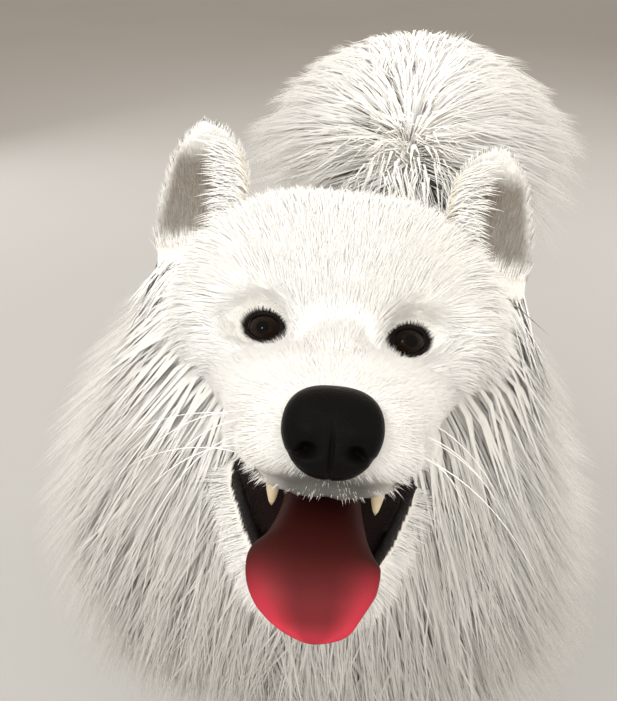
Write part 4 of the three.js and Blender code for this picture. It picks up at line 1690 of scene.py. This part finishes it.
@dataclass
class LoftCoat:
    """The long coat on one loft: tufts that rise from the skin and run on along the coat's surface.

    At t from root to tip, a tuft is on the loft at s + reach * t^1.2, where the reach is read at s off a
    line of places and values, at angle - drift * cos(angle) * t with a stray turn of its own, and at a
    share of the coat's depth of top * (1 - (1 - t)^rise), and it droops by droop * t^2.

    Span is the part of the loft with roots on it. Clump, pull, wave and waves are clumped's. Painted shade
    darkens the low front of the ruff, where the head shades it. A tuft whose root is inside another loft is
    left out. Cell is the coat's part of the OFBake map: its corner and its size.
    """

    name: str
    loft: Loft
    count: int
    reach: tuple[tuple[float, ...], tuple[float, ...]]
    span: tuple[float, float] = (0.02, 0.97)
    drift: float = 0.0
    stray: float = 3.0
    droop: float = 8.0
    rise: float = 1.3
    top: float = 1.0
    width: float = 1.5
    steps: int = 4
    clump: float = 16.0
    pull: float = 0.45
    wave: float = 2.0
    waves: float = 0.8
    painted_shade: float = 0.0
    pale: float = 0.1
    softness: float = 0.75
    inside: tuple[Loft, ...] = ()
    seed: int = 1
    cell: tuple[float, float, float, float] = (0.01, 0.01, 0.98, 0.98)

    def roots(self, rng: Chance, count: int) -> tuple[Array, Array]:
        """Roots even over the loft at half the coat's depth.

        Args:
            rng: chance.
            count: how many.

        Returns:
            Each root's s and its angle in radians, (count,).
        """
        s = np.linspace(*self.span, 61)
        angle = np.radians(np.linspace(0.0, 360.0, 73))
        grid = self.loft.point(*np.meshgrid(s, angle, indexing="ij"), 0.5)
        along, around = np.diff(grid, axis=0)[:, :-1], np.diff(grid, axis=1)[:-1]
        area = np.linalg.norm(np.cross(along, around), axis=-1).ravel()
        cell = rng.choice(len(area), count, p=area / area.sum())
        i, j = np.divmod(cell, around.shape[1])
        s = s[i] + rng.random(count) * (s[1] - s[0])
        return s, angle[j] + rng.random(count) * (angle[1] - angle[0])

    def curve(self, s: Array, angle: Array, rng: Chance) -> tuple[Array, Array]:
        """The tufts' curves before they are drawn together, by the formula of the class.

        Args:
            s: the roots' places along the loft, (n,).
            angle: the roots' angles in radians, (n,).
            rng: chance.

        Returns:
            The curves and the loft's middle beside each of their points, each (n, steps, 3).
        """
        n = len(s)
        t = np.linspace(0, 1, self.steps)
        reach = np.interp(s, *self.reach) + rng.normal(0, 0.02, n)
        top = self.top * np.clip(1 - np.abs(rng.normal(0, 0.10, n)), 0.5, 1.0)
        run = s[:, None] + reach[:, None] * t**1.2
        held = np.clip(run, 0.03, 0.97)
        stray = np.radians(rng.normal(0, self.stray, n))[:, None]
        turn = angle[:, None] + (stray - math.radians(self.drift) * np.cos(angle)[:, None]) * t
        share = top[:, None] * (1 - (1 - t) ** self.rise)
        made = self.loft.point(held, turn, share)
        _, middle, tangent, _, _ = self.loft.frame(held)
        length = np.linalg.norm(np.diff(self.loft.table[:, :3], axis=0), axis=1).sum()
        made += tangent * ((run - held) * length * 0.6)[..., None]
        made[..., 2] -= self.droop * t**2
        return made, middle

    def build(self, material: Material) -> None:
        """Makes the tufts, in as many pieces as their triangles need."""
        rng = np.random.default_rng(self.seed)
        count = int(self.count * (1.0))
        s, angle = self.roots(rng, count)
        root = self.loft.point(s, angle, 0.0)
        hidden = np.zeros(count, bool)
        for other in self.inside:
            hidden |= other.holds(root, 0.85)
        s, angle = s[~hidden], angle[~hidden]
        curves, middle = self.curve(s, angle, rng)
        curves = clumped(curves, rng, self.clump, self.pull, self.wave, self.waves)
        n, steps, _ = curves.shape
        curves = curves + rng.normal(0, 1.0, (n, steps, 3)) * np.linspace(0, 1, steps)[:, None]
        curves[..., 2] = np.maximum(curves[..., 2], 1.5)
        out = unit(curves - middle)
        x, y, w, h = self.cell
        place = np.stack([x + w * (angle % (2 * np.pi)) / (2 * np.pi), y + h * s], -1)
        width = self.width * rng.uniform(0.7, 1.3, n)
        tone = np.clip(rng.normal(0.82, 0.10, n), 0, 1)
        # Painted shade: the low front of the ruff, in the head's shadow, takes the dark colour, fading to the
        # tips.
        painted_shade = self.painted_shade * (1 - smooth(root[~hidden, 2], 540.0, 700.0)) * smooth(-out[:, 0, 1], -0.2, 0.5)
        painted_shade = painted_shade * rng.uniform(0.6, 1.2, n)
        tufts = Tufts(curves, out, width, tone, painted_shade, place, 0.22, self.softness, self.pale, fade=0.25)
        tufts.build_split(self.name, angle, material)


@dataclass
class FaceCoat:
    """Hair that grows straight from the skin's surface: the head, the ears and the paws.

    On the head it lies away from the nose, pressed to the skin, and its length and width grow with the
    distance from the nose. The head's parts overlap, and each has a name, the distances from the nose
    between which it grows, points a tuft, tufts a square millimetre and a seed.
    """

    skin: Piece
    maker: Skin
    head_hair: tuple = (
        ("coat_muzzle", 0.0, 120.0, 2, 1.55, 11),
        ("coat_face", 55.0, 170.0, 2, 1.2, 12),
        ("coat_cheeks", 115.0, 280.0, 3, 0.275, 13),
    )
    overlap: float = 45.0

    def __post_init__(self) -> None:
        """Reads the skin's triangles once."""
        mesh = self.skin.data
        mesh.calc_loop_triangles()
        flat = np.zeros(len(mesh.loop_triangles) * 3, np.int32)
        mesh.loop_triangles.foreach_get("vertices", flat)
        self.triangles = flat.reshape(-1, 3)
        self.points = coordinates(self.skin)
        self.normals = read(mesh.vertex_normals, "vector")
        corner = self.points[self.triangles]
        square = np.cross(corner[:, 1] - corner[:, 0], corner[:, 2] - corner[:, 0])
        self.area = np.linalg.norm(square, axis=1) / 2
        self.facing = unit(square)
        self.middle = corner.mean(1)

    def scatter(self, rng: Chance, density: Array) -> tuple[Array, Array]:
        """Roots spread by chance over the skin's triangles.

        Args:
            rng: chance.
            density: roots a square millimetre, for each triangle.

        Returns:
            The roots and the skin's normals there, each (n, 3).
        """
        weight = self.area * density
        count = int(weight.sum())
        picked = rng.choice(len(weight), count, p=weight / weight.sum())
        u, v = rng.random((2, count))
        flip = u + v > 1
        u, v = np.where(flip, 1 - u, u), np.where(flip, 1 - v, v)
        share = np.stack([1 - u - v, u, v], -1)[..., None]
        corner = self.triangles[picked]
        return (self.points[corner] * share).sum(1), unit((self.normals[corner] * share).sum(1))

    def grow(
        self, rng: Chance, root: Array, normal: Array, flow: Array, length: Array,
        lift: Array | float, steps: int, fall: Array | float, sink: Array | float,
    ) -> Array:
        """Curves that leave the skin and bend to lie along the flow.

        A place at t is root - sink * normal + length * (t * start + t^2 * (end - start) / 2), where start
        is raised from the skin by the lift and end by half of it.

        Args:
            rng: chance.
            root: places on the skin, (n, 3).
            normal: the skin's normals there, (n, 3).
            flow: the way the hair lies, (n, 3).
            length: millimetres along a tuft, (n,).
            lift: the angle from the skin at the root, in radians.
            steps: points a tuft.
            fall: how much the end is drawn down by its weight.
            sink: how far under the skin a tuft starts, in millimetres.

        Returns:
            The curves, (n, steps, 3).
        """
        lift = np.broadcast_to(lift, len(root))
        lie = tangential(flow + rng.normal(0, 0.10, flow.shape), normal)
        start = lie * np.cos(lift)[:, None] + normal * np.sin(lift)[:, None]
        end = lie * np.cos(lift * 0.5)[:, None] + normal * np.sin(lift * 0.5)[:, None]
        end[:, 2] -= fall
        t = np.linspace(0, 1, steps)[None, :, None]
        bend = start[:, None] * t + (end - start)[:, None] * t**2 / 2
        return (root - normal * np.reshape(sink, (-1, 1)))[:, None] + bend * length[:, None, None]

    def head(self, material: Material) -> None:
        """Short hair on the face and the longer hair of the cheeks, crown and throat."""
        place = FRAMES.to_head(self.middle)
        x, y, z = place.T
        in_head = (y < 150) & (z > -150) & (self.middle[:, 2] > 540)
        _, bare = self.maker.marks(place, self.facing @ FRAMES.turn)
        hairy = in_head * ~self.in_ears(place) * (1 - bare) * (1 - 0.65 * under_nose(place))
        distance = np.linalg.norm(place - np.array(NOSE_CENTRE), axis=1)
        by_ear = smooth(np.abs(x), 58.0, 70.0) * smooth(z, -20.0, 10.0)
        behind = smooth(distance, 165.0, 195.0) * (np.abs(x) > 50)
        thicker = 1 + 0.5 * smooth(-z, 0.0, 40.0) + 1.5 * by_ear + 0.9 * behind
        for name, low, high, steps, dense, seed in self.head_hair:
            rng = np.random.default_rng(seed)
            share = smooth(distance, low, low + self.overlap) if low else 1.0
            share = share * (1 - smooth(distance, high - self.overlap, high))
            share = share * (thicker if name == "coat_cheeks" else 1.0)
            root, normals = self.scatter(rng, dense * share * hairy)
            self.head_tufts(rng, name, root, normals, steps, material)

    def head_flow(self, place: Array, distance: Array, cheek: Array, beside_ear: Array) -> Array:
        """The way the head's hair lies: away from the nose, out and down on the cheeks, round the eyes.

        Args:
            place: roots in the head's frame, (n, 3).
            distance: their distance from the nose, (n,).
            cheek: how much each is on a cheek, (n,).
            beside_ear: how much each is at the foot of an ear, (n,).

        Returns:
            Directions in the dog's frame, (n, 3).
        """
        flow = FRAMES.along_head((place - np.array(NOSE_CENTRE)) / distance[:, None])
        flow = flow + np.array([0, 0, -0.30]) * smooth(distance, 110.0, 200.0)[:, None]
        mirror = np.sign(place[:, :1]) ** np.array([1, 0, 0])
        flow = flow + FRAMES.along_head(np.array([0.8, 0.1, -0.7]) * mirror) * cheek[:, None]
        down = FRAMES.along_head(np.array([0.5, 0.2, -0.85]) * mirror)
        flow = flow * (1 - beside_ear)[:, None] + down * beside_ear[:, None]
        for eye in EYES.values():
            beside = place - eye.front()
            push, ahead = FRAMES.along_head(unit(beside)), unit(flow)
            push -= ahead * np.minimum(0.0, (push * ahead).sum(1, keepdims=True))
            near = 1 - smooth(np.linalg.norm(beside, axis=1), 12.0, 34.0)
            flow = flow + push * 0.7 * near[:, None]
        return flow

    def head_tufts(
        self, rng: Chance, name: str, root: Array, normal: Array, steps: int, material: Material
    ) -> None:
        """The tufts of one part of the head.

        Args:
            rng: chance.
            name: the piece's name.
            root: places on the skin, (n, 3).
            normal: the skin's normals there, (n, 3).
            steps: points a tuft.
            material: the coat's material.
        """
        n, place = len(root), FRAMES.to_head(root)
        x, y, z = place.T
        distance = np.linalg.norm(place - np.array(NOSE_CENTRE), axis=1)
        crown, chin = smooth(z, 10.0, 50.0), smooth(-z, 55.0, 90.0)
        cheek = smooth(np.abs(x), 35.0, 65.0) * smooth(distance, 85.0, 130.0) * (1 - crown)
        cheek = cheek * (1 - 0.8 * smooth(y, 60.0, 110.0))
        beside_ear = smooth(z, -25.0, 2.0) * smooth(np.abs(x), 55.0, 74.0)
        flow = self.head_flow(place, distance, cheek, beside_ear)
        length = np.interp(distance, [12, 30, 60, 95, 125, 150, 185, 240], [4, 7, 10, 14, 20, 32, 50, 62])
        length = length * (1 - 0.1 * crown) * (1 + 0.15 * chin) * (1 + 0.8 * cheek)
        length = length * (1 - 0.35 * beside_ear) * (1 - 0.55 * under_nose(place))
        gap = np.min([np.linalg.norm(place - eye.front(), axis=1) for eye in EYES.values()], axis=0)
        length = length * (0.28 + 0.72 * smooth(gap, 9.5, 26.0)) * rng.uniform(0.75, 1.2, n)
        lift = np.radians(np.interp(distance, [12, 60, 110, 150, 200], [24, 22, 20, 30, 42]))
        lift = lift * (1 - 0.4 * crown) * (1 - 0.5 * beside_ear)
        far = smooth(distance, 90.0, 150.0)
        fall, sink = 0.25 * far, 0.3 + 0.5 * far
        curves = self.grow(rng, root, normal, flow, length, lift, steps, fall, sink)
        if name != "coat_muzzle":
            curves = clumped(curves, rng, 9.0, 0.3, 0.6, 0.5)
        within = np.abs(FRAMES.to_head(curves[:, -1])[:, 0]) < rng.uniform(100, 120, n)
        width = np.interp(distance, [20, 80, 140, 200], [0.36, 0.42, 0.62, 0.95]) * rng.uniform(0.7, 1.3, n)
        turn = np.arctan2(x, -z)
        spot = np.stack([0.5 + turn / (2 * np.pi) * 0.97, np.clip((y + 115) / 290, 0.01, 0.99)], -1)
        # Painted shade: the face's hair is set less light than the cheeks' and the body's, to take back the
        # stronger light on the face.
        tone = np.clip(rng.normal(0.12 + 0.5 * cheek, 0.10), 0, 1)
        dark = rng.uniform(0.2, 1.0, n) * under_nose(place)
        tufts = Tufts(curves, normal, width, tone, dark, spot, softness=0.9, pale=0.4)
        tufts.some(within).build_split(name, turn[within], material)

    def in_ears(self, points: Array) -> Array:
        """Whether each of the places in the head's frame is on an ear.

        Args:
            points: places in the head's frame, (n, 3).

        Returns:
            True or false for each, (n,).
        """
        inside = np.zeros(len(points), bool)
        for ear in EARS.values():
            rise, share, height = ear.coordinates(points)
            near = (rise > -0.02) & (np.abs(share) < 1.4) & (np.abs(height) < 16)
            inside |= near & (points[:, 0] * ear.side > 40)
        return inside

    def ears(self, material: Material) -> None:
        """Dense short hair on the ears, brown in their hollows, and the long hair across the opening."""
        rng = np.random.default_rng(21)
        root, normal = self.scatter(rng, 1.8 * self.in_ears(FRAMES.to_head(self.middle)))
        n, place = len(root), FRAMES.to_head(root)
        side = np.sign(place[:, 0])
        mark, length, flow = np.zeros(n), np.zeros(n), np.zeros((n, 3))
        for ear in EARS.values():
            rise, share, height = ear.coordinates(place)
            mine = side == ear.side
            # Painted shade in part: hair in each ear's hollow takes the dark colour, for the skin showing
            # through and for the hollow's shade.
            inner = smooth(height, 0.5, 2.0) * (1 - smooth(np.abs(share), 0.45, 0.68))
            mark = np.where(mine, inner * (1 - smooth(rise, 0.62, 0.82)) * smooth(rise, -0.02, 0.1), mark)
            length = np.where(mine, 9.0 - 3.0 * smooth(rise, 0.1, 0.5) - 1.5 * smooth(rise, 0.6, 1.0), length)
            axis = unit(np.array(ear.tip) - np.array(ear.base))
            out = np.sign(share)[:, None] * np.array([0.8, 0, -0.3]) * 0.45 * np.abs(share)[:, None]
            flow = np.where(mine[:, None], (axis + out) * np.array([ear.side, 1, 1]), flow)
        length = length * rng.uniform(0.7, 1.25, n)
        flow = FRAMES.along_head(flow)
        curves = self.grow(rng, root, normal, flow, length, math.radians(14), 2, fall=0.0, sink=0.3)
        width = rng.uniform(0.32, 0.52, n)
        spot = np.stack([0.25 + 0.2 * side + place[:, 0] / 900, np.clip(place[:, 2] / 140, 0.02, 0.98)], -1)
        tone = np.clip(rng.normal(0.6, 0.2, n), 0, 1)
        mark = mark * rng.uniform(0.75, 0.95, n)
        Tufts(curves, normal, width, tone, mark, spot, pale=0.2, fade=0.1).build("coat_ears", material)
        self.ear_fringe(material)

    def ear_fringe(self, material: Material) -> None:
        """Long pale hair from the inner edge of each ear, fanned out across its hollow."""
        rng, each = np.random.default_rng(22), 700
        parts = []
        full, t = np.ones(each), np.linspace(0, 1, 4)[None, :, None]
        lift = np.array([0, -6.0, 2.0]) * np.sin(np.pi * t)
        for ear in EARS.values():
            rise, share = rng.uniform(-0.12, 0.62, each), rng.uniform(-1.0, -0.6, each)
            root = ear.leaf(np.clip(rise, 0, 1), share, 0.4 * full, full)
            root[:, 2] -= np.maximum(0, -rise) * 60
            aim = ear.leaf(np.clip(rise + 0.25, 0, 1), share + rng.uniform(0.3, 1.0, each), 1.5 * full, full)
            aim[:, 1] -= rng.uniform(4, 12, each)
            length = rng.uniform(0.5, 1.0, each)[:, None, None]
            parts.append(root[:, None] + (aim - root)[:, None] * t * length + lift)
        curves = FRAMES.from_head(np.concatenate(parts))
        n, side = len(curves), np.repeat([ear.side for ear in EARS.values()], each)
        out = np.tile(FRAMES.along_head(np.array([0.0, -1.0, 0.2])), (n, 1))
        spot = np.stack([0.5 + 0.4 * side * rng.random(n), rng.uniform(0.02, 0.98, n)], -1)
        tone = np.clip(rng.normal(0.6, 0.2, n), 0, 1)
        width = rng.uniform(0.4, 0.8, n)
        Tufts(curves, out, width, tone, np.full(n, 0.1), spot).build("coat_ear_fringe", material)

    def rump(self, material: Material) -> None:
        """Long hair that hangs down over the rump from under the tail."""
        rng = np.random.default_rng(41)
        _, y, z = self.middle.T
        behind = smooth(y, 282.0, 296.0) * (z > 330) * (z < 545)
        root, normal = self.scatter(rng, 0.075 * behind)
        n = len(root)
        flow = np.tile([0.0, 0.35, -1.0], (n, 1))
        length = rng.uniform(42, 66, n)
        curves = self.grow(rng, root, normal, flow, length, math.radians(34), 4, fall=0.3, sink=0.8)
        curves = clumped(curves, rng, 20, 0.4, 3, 0.8)
        spot = np.stack([0.5 + root[:, 0] / 300, (root[:, 2] - 320) / 240], -1)
        tone = np.clip(rng.normal(0.8, 0.1, n), 0, 1)
        width = rng.uniform(1.5, 2.5, n)
        Tufts(curves, normal, width, tone, np.zeros(n), spot, softness=0.75).build("coat_rump", material)

    def paws(self, material: Material) -> None:
        """Short hair on the feet, lying forwards and down over the toes."""
        rng = np.random.default_rng(31)
        low = (self.middle[:, 2] < 66) & (self.middle[:, 2] > 2)
        root, normal = self.scatter(rng, 0.28 * low)
        n, (x, y, z) = len(root), root.T
        flow = np.tile([0.0, -0.6, -0.8], (n, 1))
        length = np.interp(z, [3, 20, 60], [8, 13, 26]) * rng.uniform(0.8, 1.2, n)
        curves = self.grow(rng, root, normal, flow, length, math.radians(24), 2, fall=0.0, sink=0.5)
        curves[..., 2] = np.maximum(curves[..., 2], 0.8)
        width = rng.uniform(0.9, 1.5, n)
        spot = np.stack([0.25 + 0.4 * (y < 0) + x / 900, z / 70], -1)
        tone = np.clip(rng.normal(0.5, 0.2, n), 0, 1)
        Tufts(curves, normal, width, tone, np.zeros(n), spot).build("coat_paws", material)


def even(value: float) -> tuple[tuple[float, ...], tuple[float, ...]]:
    """A reach that is the same all along a loft."""
    return (0, 1), (value, value)


def long_coats() -> list[LoftCoat]:
    """The long coat of every part of the body: outer hair and, on the ruff and plume, underwool."""
    plume = ((0.3, 0.6, 0.78, 0.86, 1), (-0.05, -0.14, -0.10, 0.06, 0.16))
    wool = {"width": 3.6, "steps": 3, "clump": 14, "pull": 0.1, "rise": 2.0, "pale": 0.6}
    # The ruff and its underwool carry painted shade on their low front.
    coats = [
        LoftCoat(
            "coat_ruff", NECK, 27500, even(-0.26), span=(0.05, 0.97), width=0.8, steps=3, clump=20,
            pull=0.5, wave=5, waves=0.7, droop=12, rise=1.2, stray=6, painted_shade=0.6, softness=0.92, seed=1,
        ),
        LoftCoat(
            "coat_underwool", NECK, 6500, even(-0.22), span=(0.05, 0.99), droop=10, top=0.82, stray=8,
            painted_shade=0.4, softness=0.92, seed=9, **wool,
        ),
        LoftCoat(
            "coat_tail_underwool", TAIL, 3200, plume, span=(0.03, 0.97), drift=-24, droop=14, top=0.8,
            softness=0.9, inside=(TRUNK,), seed=10, **wool,
        ),
        LoftCoat(
            "coat_trunk", TRUNK, 7000, even(0.15), span=(0.03, 0.99), drift=12, droop=10,
            width=2.3, clump=24, pull=0.5, wave=3, inside=(NECK,), seed=2,
        ),
        LoftCoat(
            "coat_tail", TAIL, 11500, plume, span=(0.03, 0.97), drift=-24, droop=26, width=1.5, clump=36,
            pull=0.55, wave=9, waves=1.0, rise=1.2, softness=0.86, inside=(TRUNK,), seed=3,
        ),
    ]
    for number, (hand, side) in enumerate(SIDES.items()):
        cell = (0.01 + 0.5 * number, 0.01, 0.48, 0.98)
        fore = LoftCoat(
            f"coat_foreleg_{hand}", fore_leg(side), 2600, even(0.14), span=(0.04, 0.90), droop=4, width=1.7,
            steps=3, clump=12, pull=0.35, wave=1, inside=(TRUNK, NECK), seed=4 + number, cell=cell,
        )
        hind = LoftCoat(
            f"coat_hindleg_{hand}", hind_leg(side), 3300, even(0.13), span=(0.04, 0.92), droop=6, width=1.9,
            clump=16, pull=0.4, wave=1.5, inside=(TRUNK,), seed=6 + number, cell=cell,
        )
        coats += [fore, hind]
    return coats


# Studio


@dataclass
class Studio:
    """Floor, soft light and the photograph's camera.

    The camera is turned about Z and tilted down by degrees, and its focal length is in picture points.
    """

    camera_at: tuple = (69.0, -706.0, 861.0)
    turn: float = 10.9
    down: float = 31.42
    focal: float = 800.0

    def light(
        self, name: str, at: tuple, aim: tuple, size: float, power: float, mirrored: bool = False
    ) -> None:
        """A round soft light.

        Args:
            name: the light's name.
            at: its place in the dog's frame.
            aim: where it points to.
            size: its width in metres.
            power: its power in watts.
            mirrored: whether it shows in the eyes and on the nose.
        """
        lamp = bpy.data.lights.new(name, "AREA")
        lamp.shape = "DISK"
        lamp.size = size
        lamp.energy = power
        made = bpy.data.objects.new(name, lamp)
        bpy.context.scene.collection.objects.link(made)
        start, end = FRAMES.metres(np.array([at, aim], float))
        back = unit(start - end)
        side = unit(np.cross([0.0, 1.0, 0.05], back))
        matrix = np.eye(4)
        matrix[:3, :3] = np.stack([side, np.cross(back, side), back], -1)
        matrix[:3, 3] = start
        made.matrix_world = Matrix(matrix.tolist())
        made.visible_glossy = mirrored

    def camera(self) -> None:
        """The camera, with the picture's long side across the sensor's width."""
        data = bpy.data.cameras.new("camera")
        data.sensor_width = 36
        data.lens = self.focal / max(IMAGE) * data.sensor_width
        data.clip_start, data.clip_end = 0.02, 60
        made = bpy.data.objects.new("camera", data)
        bpy.context.scene.collection.objects.link(made)
        made.location = FRAMES.metres(np.array(self.camera_at))
        made.rotation_euler = (math.radians(90 - self.down), 0, math.radians(self.turn))
        bpy.context.scene.camera = made

    def build(self, material: Material) -> None:
        """Makes the camera, the floor, the lights and the sky."""
        self.camera()
        mesh = bpy.data.meshes.new("floor")
        corners = [(14.0 * x, 14.0 * y, 0) for x, y in ((-1, -1), (1, -1), (1, 1), (-1, 1))]
        mesh.from_pydata(corners, [], [(0, 1, 2, 3)])
        floor = bpy.data.objects.new("floor", mesh)
        bpy.context.scene.collection.objects.link(floor)
        mesh.materials.append(material)
        self.light("front", (120, -1300, 1300), (0, -250, 520), 1.1, 8)
        self.light("key", (-1250, -1000, 1900), (0, -100, 520), 1.7, 19)
        self.light("fill", (1450, -950, 1700), (0, -150, 500), 1.9, 12)
        self.light("back", (300, 2000, 2500), (0, 150, 600), 2.0, 38)
        for hand, side in SIDES.items():
            self.light(f"rear_{hand}", (side * 1750, 1350, 950), (0, 250, 480), 1.4, 12)
        self.light("spark", (-500, -1500, 1900), (0, -350, 520), 0.14, 5, mirrored=True)
        world = bpy.data.worlds.new("studio")
        world.use_nodes = True
        sky = world.node_tree.nodes["Background"]
        sky.inputs["Color"].default_value = (1.0, 0.89, 0.76, 1)
        sky.inputs["Strength"].default_value = 0.70
        scene = bpy.context.scene
        scene.world = world
        scene.view_settings.view_transform = "Standard"
        scene.view_settings.look = "None"


def main() -> None:
    """Builds the model piece by piece."""
    logging.basicConfig(level=logging.INFO, format="%(name)s %(message)s", stream=sys.stdout)
    Studio().build(PlainFinish("floor", roughness=0.9).build())
    coat = CoatFinish("coat", roughness=0.8, specular=0.2, sheen=0.1).build()
    leather = WetLeatherFinish("leather", roughness=0.4, specular=0.1).build()
    maker = Skin()
    skin = maker.build(SkinFinish("skin", specular=0.12).build())
    eye = EyeFinish("eye", roughness=0.03, specular=0.14).build()
    for hand, one in EYES.items():
        one.build(hand, eye, leather)
    Nose().build(NoseFinish("nose", specular=0.06).build())
    Tongue().build(TongueFinish("tongue", roughness=0.5, specular=0.12).build())
    cream, pale = (0.46, 0.36, 0.20, 1), (0.66, 0.57, 0.40, 1)
    Teeth().build(PlainFinish("tooth", roughness=0.28, dark=cream, light=pale, scale=220.0).build())
    Whiskers().build(coat)
    build_claws(leather)
    hair = FaceCoat(skin, maker)
    hair.head(coat)
    hair.ears(coat)
    hair.paws(coat)
    hair.rump(coat)
    for long_coat in long_coats():
        long_coat.build(coat)


if __name__ == "__main__":
    main()
